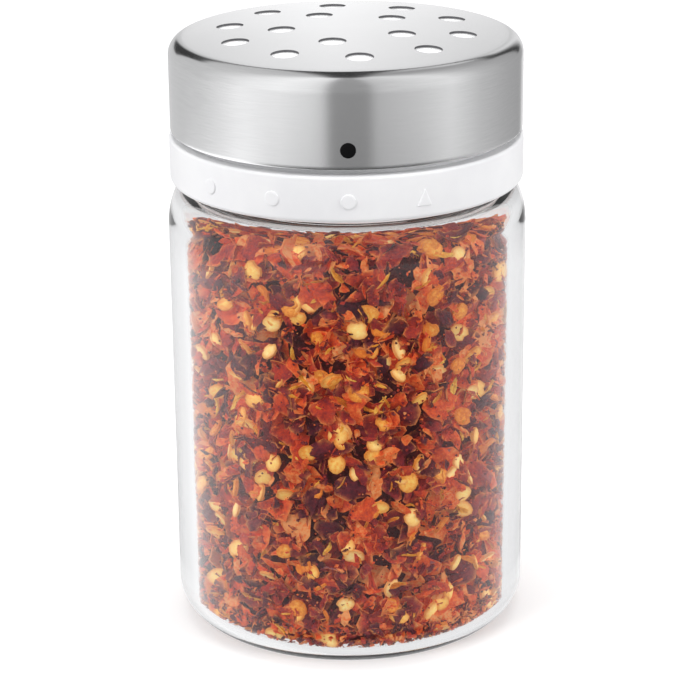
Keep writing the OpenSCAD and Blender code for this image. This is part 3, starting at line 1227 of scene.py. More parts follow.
def sheet_bit(
    name: str, outline: Sequence[Point], heights: Sequence[Sequence[float]], thickness: float
) -> bpy.types.Object:
    """A thin crumpled bit with two faces and a rim.

    Args:
        name: The object's name.
        outline: The bit's border as points in its own plane.
        heights: The middle surface's height at the centre, on a ring inside and on the border.
        thickness: The bit's thickness.

    Returns:
        An unlinked object with a few dozen faces, whose attribute rim runs from 0 to 1.
    """
    count = len(outline)
    verts: list[Place] = []
    rims: list[float] = []
    sides: list[float] = []
    for side in (1, -1):
        for share, row in zip(RING_SHARES, heights):
            ring = [(0.0, 0.0)] if share == 0 else [(x * share, y * share) for x, y in outline]
            half = side * thickness / 2 * (1.0 if share < 1 else 0.5)
            verts += [(x, y, z + half) for (x, y), z in zip(ring, row)]
            rims += [share] * len(ring)
            sides += [max(side, 0.0)] * len(ring)
    step = 1 + 2 * count
    faces = []
    for i in range(count):
        j = (i + 1) % count
        for base, flip in ((0, False), (step, True)):
            inner, outer = base + 1, base + 1 + count
            for face in (
                [base, inner + i, inner + j],
                [inner + i, outer + i, outer + j, inner + j],
            ):
                faces.append(face[::-1] if flip else face)
        top, low = 1 + count, step + 1 + count
        faces.append([top + i, low + i, low + j, top + j])
    mesh = bpy.data.meshes.new(name)
    mesh.from_pydata(verts, [], faces)
    keep_values(mesh, "rim", rims)
    keep_values(mesh, "side", sides)
    shade(mesh, BIT_SHARP)
    return bpy.data.objects.new(name, mesh)


@dataclass(frozen=True)
class Bend:
    """How a bit of skin rolls across its length, sags along it and folds."""

    roll: float
    saddle: float
    fold: float
    way: float

    def height(self, x: float, y: float) -> float:
        """The middle surface's height at a place in the bit's own plane."""
        folded = self.fold * abs(x * math.cos(self.way) + y * math.sin(self.way))
        return self.roll * y * y + self.saddle * x * x + folded


def skin_bit(number: int, stretch: float, curl: float) -> bpy.types.Object:
    """One torn, curled bit of dried skin, about one unit in radius.

    Args:
        number: The bit's number, which sets its shape.
        stretch: How many times longer than wide it is.
        curl: How strongly it rolls up across its length.

    Returns:
        The unlinked bit.
    """
    draw = np.random.default_rng(SKIN_DRAWS + number)
    count = 14
    angles = (np.arange(count) + draw.uniform(-0.3, 0.3, count)) * 2 * math.pi / count
    lobes = 0.85 + 0.14 * np.cos(2 * angles + draw.uniform(0, 6)) + 0.1 * np.cos(3 * angles)
    reach = lobes * draw.uniform(0.82, 1.12, count)
    width = 1.0 / stretch
    outline = [(r * math.cos(a), r * width * math.sin(a)) for a, r in zip(angles, reach)]
    bend = Bend(
        roll=draw.uniform(-curl, curl) / width,
        saddle=draw.uniform(-0.3, 0.3),
        fold=draw.uniform(-0.45, 0.45),
        way=draw.uniform(0, math.pi),
    )
    rows = [
        [bend.height(x * share, y * share) + draw.uniform(-crumple, crumple) for x, y in outline]
        for share, crumple in zip(RING_SHARES[1:], (0.11, 0.09))
    ]
    return sheet_bit(f"skin_bit_{number}", outline, [[draw.uniform(-0.1, 0.1)], *rows], 0.09)


def seed_bit(number: int) -> bpy.types.Object:
    """One flat kidney-shaped seed, about one unit in radius.

    Args:
        number: The seed's number, which sets its shape.

    Returns:
        The unlinked seed.
    """
    draw = np.random.default_rng(SEED_DRAWS + number)
    count = 12
    outline = []
    for i in range(count):
        a = 2 * math.pi * i / count
        notch = 0.26 * math.exp(-((a - 0.6) ** 2) / 0.1) - 0.16 * math.exp(-((a - 1.3) ** 2) / 0.1)
        r = (1.0 - notch) * draw.uniform(0.96, 1.04)
        outline.append((r * math.cos(a), 0.84 * r * math.sin(a)))
    dish = draw.uniform(-0.1, 0.1)
    rows = [[dish * (1 - share * share) for _ in outline] for share in RING_SHARES[1:]]
    return sheet_bit(f"seed_bit_{number}", outline, [[dish], *rows], 0.44)


def speck_bit(number: int) -> bpy.types.Object:
    """One coarse grain with eight faces.

    Args:
        number: The grain's number, which sets its shape and its side.

    Returns:
        The unlinked grain.
    """
    draw = np.random.default_rng(SPECK_DRAWS + number)
    ends = [(1, 0, 0), (-1, 0, 0), (0, 1, 0), (0, -1, 0), (0, 0, 1), (0, 0, -1)]
    verts = [tuple(np.array(e) * draw.uniform(0.5, 1.1)) for e in ends]
    faces = []
    for x in (0, 1):
        for y in (2, 3):
            for z in (4, 5):
                faces.append((x, y, z) if (x + y + z) % 2 == 0 else (x, z, y))
    mesh = bpy.data.meshes.new(f"speck_bit_{number}")
    mesh.from_pydata(verts, [], faces)
    keep_values(mesh, "rim", [0.7] * len(verts))
    keep_values(mesh, "side", [float(number % 2)] * len(verts))
    return bpy.data.objects.new(mesh.name, mesh)


def bit_collection(kind: Crumb) -> bpy.types.Collection:
    """The shapes that one kind of bit is picked from.

    Args:
        kind: The kind of bit.

    Returns:
        The unlinked collection that holds them.
    """
    collection = bpy.data.collections.new(f"{kind.value}_bits")
    if kind is Crumb.SKIN:
        bits = [skin_bit(n, 1.0 + 0.05 * n, 0.5) for n in range(20)]
    elif kind is Crumb.SHRED:
        bits = [skin_bit(50 + n, 2.6 + 0.35 * n, 0.3) for n in range(8)]
    elif kind is Crumb.PITH:
        bits = [skin_bit(70 + n, 3.4 + 0.5 * n, 0.2) for n in range(6)]
    elif kind is Crumb.SEED:
        bits = [seed_bit(n) for n in range(6)]
    else:
        bits = [speck_bit(n) for n in range(5)]
    for bit in bits:
        collection.objects.link(bit)
    return collection


def bit_rotation(graph: Graph, flat: Socket, tilt: Socket, seed: Socket) -> Socket:
    """Lays each bit on the shell, then tilts and turns it at random.

    Args:
        graph: The tree's graph.
        flat: The rotation that lays a bit on its face of the shell.
        tilt: The largest tilt in radians.
        seed: The random turn's seed.

    Returns:
        The rotation's socket.
    """
    back = graph.math("MULTIPLY", tilt, -1.0)
    low, high = graph.vector(back, back, -math.pi), graph.vector(tilt, tilt, math.pi)
    turn = graph.add("FunctionNodeEulerToRotation", {0: graph.random(low, high, seed, "FLOAT_VECTOR")})
    inputs = {0: flat, 1: turn.outputs[0]}
    return graph.add("FunctionNodeRotateRotation", inputs, rotation_space="LOCAL").outputs[0]


def store(graph: Graph, geometry: Socket, name: str, value: Socket, data_type: str) -> Socket:
    """Stores a value on each instance of some geometry.

    Args:
        graph: The tree's graph.
        geometry: The geometry that holds the instances.
        name: The attribute's name.
        value: The value to store.
        data_type: FLOAT or INT.

    Returns:
        The geometry with the attribute.
    """
    inputs = {"Geometry": geometry, "Name": name, "Value": value}
    kind = "GeometryNodeStoreNamedAttribute"
    return graph.add(kind, inputs, data_type=data_type, domain="INSTANCE").outputs[0]


def scatter_tree() -> bpy.types.NodeTree:
    """Makes the tree that scatters bits over a shell, each with its own turn, size and tone.

    Returns:
        The tree.
    """
    graph, given = geometry_tree(
        "scatter_bits",
        {
            "Shell": "NodeSocketGeometry",
            "Bits": "NodeSocketCollection",
            "Density": "NodeSocketFloat",
            "Smallest": "NodeSocketFloat",
            "Largest": "NodeSocketFloat",
            "Tilt": "NodeSocketFloat",
            "Seed": "NodeSocketInt",
            "Finish": "NodeSocketMaterial",
        },
    )
    place_seed, small, large = given["Seed"], given["Smallest"], given["Largest"]
    turn_seed, size_seed, pick_seed, tone_seed = (
        graph.math("ADD", place_seed, shift) for shift in (1.0, 2.0, 3.0, 4.0)
    )
    points = graph.add(
        "GeometryNodeDistributePointsOnFaces",
        {"Mesh": given["Shell"], "Density": given["Density"], "Seed": place_seed},
        distribute_method="RANDOM",
    ).outputs
    share = graph.math("POWER", graph.random(0.0, 1.0, size_seed), SIZE_BIAS)
    bits = graph.add(
        "GeometryNodeCollectionInfo",
        {"Collection": given["Bits"], "Separate Children": True, "Reset Children": True},
    )
    placed = graph.add(
        "GeometryNodeInstanceOnPoints",
        {
            "Points": points["Points"],
            "Instance": bits.outputs[0],
            "Pick Instance": True,
            "Instance Index": graph.random(0, PICKS, pick_seed, "INT"),
            "Rotation": bit_rotation(graph, points["Rotation"], given["Tilt"], turn_seed),
            "Scale": graph.math(
                "ADD", small, graph.product(share, graph.math("SUBTRACT", large, small))
            ),
        },
    ).outputs[0]
    toned = store(graph, placed, "tone", graph.random(0.0, 1.0, tone_seed), "FLOAT")
    index = graph.add("GeometryNodeInputIndex").outputs[0]
    return close_tree(graph, store(graph, toned, "bit", index, "INT"), given["Finish"])


@dataclass(frozen=True)
class Scatter:
    """One layer of one kind of bit, all round the filling or only at its foot."""

    name: str
    kind: Crumb
    depth: float
    density: float
    smallest: float
    largest: float
    tilt: float
    seed: int
    foot: bool = False


@dataclass
class Filling:
    """Chili flakes and seeds that fill the jar up to its shoulder."""

    cavity: Cavity
    level: float = 79.2 * MM
    edge: float = 5.0 * MM
    crown: float = 2.5 * MM
    clearance: float = 0.08 * MM
    core_depth: float = 2.6 * MM
    core_floor: float = 0.6 * MM
    foot_rise: float = 2.0 * MM
    core_tone: float = 0.4
    settle_rounds: int = 3
    layers: tuple[Scatter, ...] = (
        Scatter("flakes_outer", Crumb.SKIN, 0.5 * MM, 40_000, 1.4 * MM, 4.9 * MM, 0.42, 11),
        Scatter("flakes_second", Crumb.SKIN, 1.1 * MM, 60_000, 1.4 * MM, 5.0 * MM, 0.75, 21),
        Scatter("flakes_third", Crumb.SKIN, 2.0 * MM, 66_000, 1.6 * MM, 5.0 * MM, 0.85, 31),
        Scatter("flakes_deep", Crumb.SKIN, 3.0 * MM, 60_000, 2.2 * MM, 5.0 * MM, 0.9, 41),
        Scatter("flakes_foot", Crumb.SKIN, 0.15 * MM, 480_000, 0.6 * MM, 1.6 * MM, 0.6, 101, foot=True),
        Scatter("shreds", Crumb.SHRED, 0.8 * MM, 60_000, 1.0 * MM, 3.4 * MM, 0.9, 51),
        Scatter("pith", Crumb.PITH, 0.7 * MM, 20_000, 1.2 * MM, 2.9 * MM, 0.9, 81),
        Scatter("seeds", Crumb.SEED, 0.7 * MM, 30_000, 1.6 * MM, 2.15 * MM, 0.75, 61),
        Scatter("crumbs", Crumb.SPECK, 0.9 * MM, 330_000, 0.15 * MM, 0.6 * MM, 1.5, 71),
        Scatter("dust", Crumb.SPECK, 0.4 * MM, 150_000, 0.1 * MM, 0.36 * MM, 1.5, 91),
    )

    def settle(self, obj: bpy.types.Object) -> None:
        """Moves each bit that crosses the glass back until it just rests against it.

        Args:
            obj: The bits of one layer, whose attribute bit tells them apart.
        """
        mesh = obj.data
        count = len(mesh.vertices)
        places = np.empty(count * 3)
        mesh.vertices.foreach_get("co", places)
        places = places.reshape(-1, 3)
        bits = np.empty(count, np.int32)
        mesh.attributes["bit"].data.foreach_get("value", bits)
        for _ in range(self.settle_rounds):
            beyond, out = self.cavity.outside(places)
            beyond = beyond + self.clearance
            worst = np.full(bits.max() + 1, -np.inf)
            np.maximum.at(worst, bits, beyond)
            leader = np.zeros(bits.max() + 1, np.int64)
            leader[bits[beyond >= worst[bits]]] = np.nonzero(beyond >= worst[bits])[0]
            shift = np.maximum(worst, 0.0)[:, None] * out[leader]
            places = places - shift[bits]
        mesh.vertices.foreach_set("co", places.ravel())
        mesh.attributes.remove(mesh.attributes["bit"])
        mesh.update()

    def core(self) -> bpy.types.Object:
        """The dark inside of the heap: the frame's clumped solid, drawn in all round, whose dark colour
        is painted shade.

        Returns:
            The core, which only shows between the loose bits, where its dark colour stands in for the
            shade between them.
        """
        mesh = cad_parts["chili_flakes"].data.copy()
        finish_mesh(mesh, SMOOTH)
        work = bmesh.new()
        work.from_mesh(mesh)
        work.normal_update()
        for vertex in work.verts:
            side, front, up = vertex.normal * self.core_depth
            vertex.co -= Vector((side, front, min(max(up, -self.core_floor), self.core_depth)))
        work.to_mesh(mesh)
        work.free()
        keep_values(mesh, "tone", [self.core_tone] * len(mesh.vertices))
        # The core's dark colour is painted shade between the loose bits.
        core = new_object("deep_filling", mesh)
        wear(core, DEEP_SHADE_FLAKES.material())
        return core

    def shell(self, layer: Scatter) -> bpy.types.Object:
        """The surface that a layer's bits lie on.

        Args:
            layer: The layer.

        Returns:
            A closed shell, which is removed once the layer has grown.
        """
        if layer.foot:
            outline = self.cavity.foot(layer.depth, self.foot_rise)
        else:
            outline = self.cavity.profile(layer.depth, self.level, self.edge, self.crown)
        return lathe(layer.name + "_shell", outline, SHELL_STEPS)

    def grow(
        self, layer: Scatter, tree: bpy.types.NodeTree, finish: bpy.types.Material
    ) -> bpy.types.Object:
        """Scatters one layer of bits and settles them against the glass.

        Args:
            layer: The layer.
            tree: The tree that scatters them.
            finish: Their material.

        Returns:
            One object that holds all the bits.
        """
        shell = self.shell(layer)
        values = {
            "Bits": bit_collection(layer.kind),
            "Density": layer.density,
            "Smallest": layer.smallest,
            "Largest": layer.largest,
            "Tilt": layer.tilt,
            "Seed": layer.seed,
            "Finish": finish,
        }
        bits = run_tree(layer.name, tree, values, shell.data)
        bpy.data.objects.remove(shell)
        self.settle(bits)
        return bits

    def build(self) -> list[bpy.types.Object]:
        """Makes the filling in place of the frame's chili_flakes.

        Returns:
            The core and one object for each layer.
        """
        made = [self.core()]
        tree = scatter_tree()
        special = {Crumb.SEED: SEED_COAT, Crumb.PITH: PITH, Crumb.SPECK: GRIT}
        finishes = {kind: special.get(kind, SKIN) for kind in Crumb}
        materials = {finish: finish.material() for finish in dict.fromkeys(finishes.values())}
        for layer in self.layers:
            made.append(self.grow(layer, tree, materials[finishes[layer.kind]]))
        for piece in made:
            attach(piece, "jar")
            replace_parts(piece, "chili_flakes")
        return made


# ---------------------------------------------------------------- collar


@dataclass
class Collar:
    """White screw collar with raised marks, a drum and a bayonet flange."""

    neck: float
    ledge: float
    mark_step: float = 24.0
    thread_room: float = 1.1 * MM
    skirt_wall: float = 1.4 * MM
    band_gap: float = 0.35 * MM
    band_height: float = 8.45 * MM
    low_round: float = 1.0 * MM
    top_round: float = 0.6 * MM
    lead_in: float = 0.5 * MM
    deck: float = 1.8 * MM
    deck_open: float = 24.2 * MM
    gasket: float = 1.3 * MM
    drum_height: float = 8.0 * MM
    drum_inset: float = 2.9 * MM
    drum_wall: float = 1.5 * MM
    flange: float = 28.6 * MM
    flange_height: float = 1.8 * MM
    stop_inset: float = 0.3 * MM
    key_width: float = 3.3 * MM
    key_depth: float = 2.65 * MM
    key_reach: float = 0.7 * MM
    mark_height: float = 4.0 * MM
    mark_radius: float = 1.375 * MM
    mark_proud: float = 0.25 * MM
    mark_edge: float = 0.22 * MM
    mark_root: float = 0.35 * MM
    mark_flat: float = 0.45 * MM
    mark_sharp: float = 60.0
    triangle_width: float = 2.9 * MM
    triangle_height: float = 3.2 * MM
    triangle_round: float = 0.25 * MM
    turn: float = 120.0
    gate: Pair = (71.0, 97.0)
    stop: Pair = (95.0, 121.0)

    def __post_init__(self) -> None:
        """Works out the heights and radii that follow from the others."""
        self.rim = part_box("glass_jar")[1].z
        self.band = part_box("threaded_collar")[1].x
        self.bore = self.neck + self.thread_room
        self.skirt = self.bore + self.skirt_wall
        self.low = self.ledge + self.band_gap
        self.high = self.low + self.band_height
        self.deck_low = self.rim + self.gasket
        self.deck_top = self.deck_low + self.deck
        self.drum = self.skirt - self.drum_inset
        self.drum_bore = self.drum - self.drum_wall
        self.drum_top = self.deck_top + self.drum_height

    def profile(self) -> list[Point]:
        """The turned part's outline.

        Returns:
            A closed outline: down the bore, up the band, then round the deck and the drum.
        """
        return [
            (self.bore, self.deck_low),
            *THREAD.rows(self.bore, self.deck_low, self.low + self.lead_in),
            (self.bore, self.low + self.lead_in),
            (self.bore + self.lead_in, self.low),
            *arc((self.band - self.low_round, self.low + self.low_round), self.low_round, -90, 0, 10),
            *arc((self.band - self.top_round, self.high - self.top_round), self.top_round, 0, 90, 8),
            (self.skirt, self.high),
            (self.skirt, self.deck_top),
            (self.drum, self.deck_top),
            (self.drum, self.drum_top),
            (self.drum_bore, self.drum_top),
            (self.drum_bore, self.deck_top),
            (self.deck_open, self.deck_top),
            (self.deck_open, self.deck_low),
        ]

    def pad(self, azimuth: float, outline: Sequence[Point], name: str) -> bpy.types.Object:
        """A raised mark with a rounded edge that follows the band.

        Args:
            azimuth: Where the mark's middle is.
            outline: Its border as (sideways, up) from its middle.
            name: The piece's name.

        Returns:
            A closed shell that starts inside the band.
        """
        centre = np.mean(outline, axis=0)
        border = np.array(outline)
        inward = centre - border
        inward /= np.linalg.norm(inward, axis=1)[:, None]
        steps = [(-self.mark_root, 0.0), (self.mark_proud - self.mark_edge, 0.0)]
        for angle in np.radians([30.0, 60.0, 90.0]):
            lift = self.mark_proud - self.mark_edge * (1 - math.sin(angle))
            steps.append((lift, self.mark_edge * (1 - math.cos(angle))))
        steps.append((self.mark_proud, self.mark_flat))
        verts: list[Place] = []
        height = self.low + self.mark_height
        for lift, inset in steps:
            for side, up in border + inward * inset:
                out = direction(azimuth + math.degrees(side / self.band)) * (self.band + lift)
                verts.append((out.x, out.y, height + up))
        count = len(border)
        faces = [list(range(count))[::-1]]
        for k in range(len(steps) - 1):
            for i in range(count):
                j = (i + 1) % count
                faces.append([k * count + i, k * count + j, (k + 1) * count + j, (k + 1) * count + i])
        faces.append([(len(steps) - 1) * count + i for i in range(count)])
        return solid(name, verts, faces, self.mark_sharp)

    def triangle(self) -> list[Point]:
        """The triangle's border, point up.

        Returns:
            The border as (sideways, up), with slightly rounded corners.
        """
        w, h = self.triangle_width / 2, self.triangle_height / 2
        corners = [np.array(c) for c in ((-w, -h), (w, -h), (0.0, h))]
        places: list[np.ndarray] = []
        for i, corner in enumerate(corners):
            before, after = corners[i - 1] - corner, corners[(i + 1) % 3] - corner
            start = corner + before / np.linalg.norm(before) * self.triangle_round
            stop = corner + after / np.linalg.norm(after) * self.triangle_round
            end = corners[(i + 1) % 3] - after / np.linalg.norm(after) * self.triangle_round
            for t in np.linspace(0.0, 1.0, 5):
                places.append((1 - t) ** 2 * start + 2 * t * (1 - t) * corner + t * t * stop)
            for t in np.linspace(0.0, 1.0, 8)[1:-1]:
                places.append((1 - t) * stop + t * end)
        return [(float(place[0]), float(place[1])) for place in places]

    def marks(self, finish: bpy.types.Material) -> list[bpy.types.Object]:
        """Three round marks, the last of them at the front, and a triangle to their right.

        Args:
            finish: The material of the copied marks.

        Returns:
            The round marks as one object, and the triangle.
        """
        ring = [
            (self.mark_radius * math.cos(a), self.mark_radius * math.sin(a))
            for a in np.linspace(0, 2 * math.pi, 48, endpoint=False)
        ]
        rounds = self.pad(0.0, ring, "round_marks")
        rounds = turned_copies(rounds, 3, -2 * self.mark_step, self.mark_step, finish)
        return [rounds, self.pad(self.mark_step, self.triangle(), "triangle_mark")]

    def build(self) -> list[bpy.types.Object]:
        """Makes the collar in place of the frame's threaded_collar.

        Returns:
            The collar alone.
        """
        body = lathe("collar", self.profile())
        THREAD.raise_on(body, self.bore, -1.0, -THREAD.lead / THREAD.starts / 2)
        finish = COLLAR_PLASTIC.material()
        middle = self.drum - self.drum_wall / 2
        half = math.degrees(self.key_width / 2 / self.drum_bore)
        flange = ring_sector(
            "flange",
            (middle, self.flange),
            (self.drum_top - self.flange_height, self.drum_top),
            (self.gate[1], self.gate[0] + self.turn),
        )
        stop = ring_sector(
            "stop",
            (middle, self.flange - self.stop_inset),
            (self.deck_top - self.deck / 2, self.drum_top - self.flange_height / 2),
            self.stop,
        )
        slot = ring_sector(
            "key_slot",
            (self.drum_bore - self.key_reach, self.drum_bore + self.key_reach),
            (self.drum_top - self.key_depth, self.drum_top + self.key_reach),
            (-half, half),
        )
        for tool, operation in ((flange, "UNION"), (stop, "UNION"), (slot, "DIFFERENCE")):
            tools = turned_copies(tool, round(360.0 / self.turn), 0.0, self.turn, finish)
            combine(body, tools, operation)
        collar = join("marked_collar", [body, *self.marks(finish)])
        wear(collar, finish)
        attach(collar, "collar")
        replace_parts(collar, "threaded_collar")
        return [collar]


# ---------------------------------------------------------------- dial cap


@dataclass
class DialCap:
    """Brushed steel shell with shaker holes, and the black dot at its front."""

    sheet: float = 0.4 * MM
    edge: float = 3.1 * MM
    dome: float = 303.0 * MM
    hem_width: float = 0.9 * MM
    hem_height: float = 0.7 * MM
    hole: float = 2.5 * MM
    sharp: float = 30.0
    drill_length: float = 8.0 * MM
    wall_slope: float = 0.5
    outer_ring: float = 21.5 * MM
    inner_ring: float = 11.6 * MM
    outer_phase: float = 6.0
    inner_phase: float = -12.0
    inner_count: int = 5
    dot: float = 1.325 * MM
    dot_height: float = 3.6 * MM
    dot_gap: float = 0.05 * MM
    dot_proud: float = 0.08 * MM
    dot_depth: float = 1.4 * MM
    dot_round: float = 0.12 * MM
    dot_drill: Pair = (-1.2 * MM, 3.0 * MM)

    def __post_init__(self) -> None:
        """Takes the cap's outside from the frame."""
        low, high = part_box("steel_cap")
        self.radius = high.x
        self.low = low.z
        self.top = high.z
        self.centre = self.top - self.dome
        self.edge_x = self.radius - self.edge
        self.reach = math.degrees(math.asin(self.edge_x / (self.dome - self.edge)))
        self.edge_z = self.centre + (self.dome - self.edge) * math.cos(math.radians(self.reach))

    def profile(self) -> list[Point]:
        """The sheet's outline.

        Returns:
            A closed outline: dome, edge, skirt, hem, then back inside.
        """
        hem = self.hem_height / 2
        inner = self.radius - self.hem_width
        return [
            *arc((0.0, self.centre), self.dome, 90.0, 90.0 - self.reach, 24),
            *arc((self.edge_x, self.edge_z), self.edge, 90.0 - self.reach, 0.0, 20),
            *[(self.radius, float(z)) for z in np.linspace(self.edge_z, self.low + hem, 30)[1:-1]],
            *arc((self.radius - hem, self.low + hem), hem, 0.0, -90.0, 8),
            *arc((inner, self.low + hem), hem, 270.0, 90.0, 12),
            (self.radius - self.sheet, self.low + self.hem_height),
            *arc((self.edge_x, self.edge_z), self.edge - self.sheet, 0.0, 90.0 - self.reach, 12),
            *arc((0.0, self.centre), self.dome - self.sheet, 90.0 - self.reach, 90.0, 24),
        ]

    def drill(self, radius: float, length: float, placement: Matrix) -> bpy.types.Object:
        """A cylinder to cut a hole with, which points along the placement's Z axis."""
        outline = [(0.0, 0.0), (radius, 0.0), (radius, length), (0.0, length)]
        return place_mesh(lathe("drill", outline, HOLE_STEPS), placement)

    def drills(self, finish: bpy.types.Material) -> bpy.types.Object:
        """The cylinders that the shaker holes and the dot's hole are cut with.

        Args:
            finish: The material that the cut walls take.

        Returns:
            One object that holds them all.
        """
        parts = []
        for ring, count, phase in (
            (self.outer_ring, 2 * self.inner_count, self.outer_phase),
            (self.inner_ring, self.inner_count, self.inner_phase),
        ):
            placement = Matrix.Translation((0.0, -ring, self.edge_z))
            drill = self.drill(self.hole, self.drill_length, placement)
            parts.append(turned_copies(drill, count, phase, 360.0 / count, finish))
        start, length = self.dot_drill
        placement = along_azimuth(0.0, self.radius + start, self.low + self.dot_height)
        parts.append(self.drill(self.dot + self.dot_gap, length, placement))
        return join("drills", parts)

    def shell(self) -> bpy.types.Object:
        """The steel shell in place of the frame's steel_cap.

        Returns:
            The shell, whose hole walls wear the rougher cut steel, darkened as painted shade in the
            holes.
        """
        # Painted shade: the hole walls wear a darker steel.
        cut = SHADED_CUT_STEEL.material()
        shell = lathe("steel_shell", self.profile())
        combine(shell, self.drills(cut), "DIFFERENCE", self.sharp)
        wear(shell, CAP_STEEL.material(), cut)
        for face in shell.data.polygons:
            inside = math.hypot(face.center.x, face.center.y) < self.edge_x - self.sheet
            face.material_index = int(inside and abs(face.normal.z) < self.wall_slope)
        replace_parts(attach(shell, "dial"), "steel_cap")
        return shell

    def plug(self) -> bpy.types.Object:
        """The black dot in place of the frame's index_dot.

        Returns:
            The dot, which stands a little proud of the skirt.
        """
        rounding = (self.dot - self.dot_round, self.dot_proud - self.dot_round)
        outline = [
            (0.0, -self.dot_depth),
            (self.dot, -self.dot_depth),
            *arc(rounding, self.dot_round, 0.0, 90.0, 5),
            (0.0, self.dot_proud),
        ]
        plug = lathe("front_dot", outline, HOLE_STEPS)
        place_mesh(plug, along_azimuth(0.0, self.radius, self.low + self.dot_height))
        wear(plug, BLACK_PLASTIC.material())
        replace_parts(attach(plug, "dial"), "index_dot")
        return plug

    def build(self) -> list[bpy.types.Object]:
        """Makes the steel shell and its dot."""
        return [self.shell(), self.plug()]


@dataclass(frozen=True)
class CarriedPart:
    """A piece of the frame that keeps its shape and gets a finish."""

    node: str
    finish: MouldedPlastic

    def dress(self) -> list[bpy.types.Object]:
        """Gives the frame's piece its finish.

        Returns:
            The piece alone.
        """
        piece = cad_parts[self.node]
        wear(piece, self.finish.material())
        return [piece]


# ---------------------------------------------------------------- studio


@dataclass(frozen=True)
class Softbox:
    """A soft rectangular lamp."""

    name: str
    place: Place
    size: Pair
    power: float

    def build(self, target: Vector) -> None:
        """Hangs the lamp. Reflections show the surroundings instead of it.

        Args:
            target: The place that it faces.
        """
        data = bpy.data.lights.new(self.name, "AREA")
        data.shape = "RECTANGLE"
        data.size, data.size_y = self.size
        data.energy = self.power
        lamp = bpy.data.objects.new(self.name, data)
        bpy.context.scene.collection.objects.link(lamp)
        lamp.visible_glossy = False
        lamp.visible_transmission = False
        lamp.location = self.place
        lamp.rotation_euler = (target - Vector(self.place)).to_track_quat("-Z", "Y").to_euler()


@dataclass(frozen=True)
class Camera:
    """The camera in front of the shaker, a little above it."""

    distance: float = 449.36 * MM
    height: float = 211.08 * MM
    orbit: float = -0.45
    pitch: float = 19.6
    yaw: float = 0.04
    roll: float = 0.5
    lens: float = 129.909
    sensor: float = 36.0
    clip: Pair = (0.01, 50.0)

    def build(self) -> None:
        """Places the camera and makes it the scene's own."""
        data = bpy.data.cameras.new("camera")
        data.lens, data.sensor_width = self.lens, self.sensor
        data.clip_start, data.clip_end = self.clip
        camera = bpy.data.objects.new("camera", data)
        bpy.context.scene.collection.objects.link(camera)
        camera.matrix_world = (
            Matrix.Rotation(math.radians(self.orbit), 4, "Z")
            @ Matrix.Translation((0.0, -self.distance, self.height))
            @ Matrix.Rotation(math.radians(-self.yaw), 4, "Z")
            @ Matrix.Rotation(math.radians(90.0 - self.pitch), 4, "X")
            @ Matrix.Rotation(math.radians(-self.roll), 4, "Z")
        )
        bpy.context.scene.camera = camera


@dataclass(frozen=True)
class Floor:
    """A wide floor that looks white where no shadow falls.

    Mirrors don't see it, and glass sees only the part that lies near the axis.
    """

    size: float = 8.0
    seen: Linear = (0.9, 0.9, 0.9, 1.0)
    unseen: Linear = (0.5, 0.5, 0.5, 1.0)
    roughness: float = 0.9
    glow: float = 0.26
    glow_rise: float = 0.5
    glow_drop: float = 0.2
    glow_most: float = 0.4
    clear_glow: float = 0.55
    solid_within: float = 45.0 * MM

    def material(self) -> bpy.types.Material:
        """Makes the material.

        Returns:
            The material, which glows a little more the farther a point is from the axis.
        """
        graph = MaterialGraph("white_floor")
        path = graph.add("ShaderNodeLightPath").outputs
        camera_ray, clear_ray = path["Is Camera Ray"], path["Is Transmission Ray"]
        graph.feed(
            graph.shader,
            {
                "Base Color": graph.blend(camera_ray, self.unseen, self.seen),
                "Roughness": self.roughness,
                "Specular IOR Level": 0.0,
            },
        )
        reach = graph.axis_distance(graph.point())
        far = graph.math("MULTIPLY_ADD", reach, self.glow_rise, -self.glow_drop)
        camera_glow = graph.math("ADD", graph.clamp(far, self.glow_most), self.glow)
        camera_glow = graph.product(camera_ray, camera_glow)
        strength = graph.math("MULTIPLY_ADD", clear_ray, self.clear_glow, camera_glow)
        glow = graph.add("ShaderNodeEmission", {"Color": WHITE, "Strength": strength})
        both = graph.add("ShaderNodeAddShader", {0: graph.shader.outputs[0], 1: glow.outputs[0]})
        clear = graph.add("ShaderNodeBsdfTransparent")
        away = graph.math("GREATER_THAN", reach, self.solid_within)
        passed = graph.math("MAXIMUM", path["Is Glossy Ray"], graph.product(clear_ray, away))
        graph.feed(graph.output, {"Surface": graph.mix_shaders(passed, both, clear)})
        return graph.material

    def build(self) -> None:
        """Lays the floor."""
        half = self.size / 2
        mesh = bpy.data.meshes.new("floor")
        corners = [(-half, -half, 0.0), (half, -half, 0.0), (half, half, 0.0), (-half, half, 0.0)]
        mesh.from_pydata(corners, [], [[0, 1, 2, 3]])
        floor = new_object("floor", mesh)
        wear(floor, self.material())


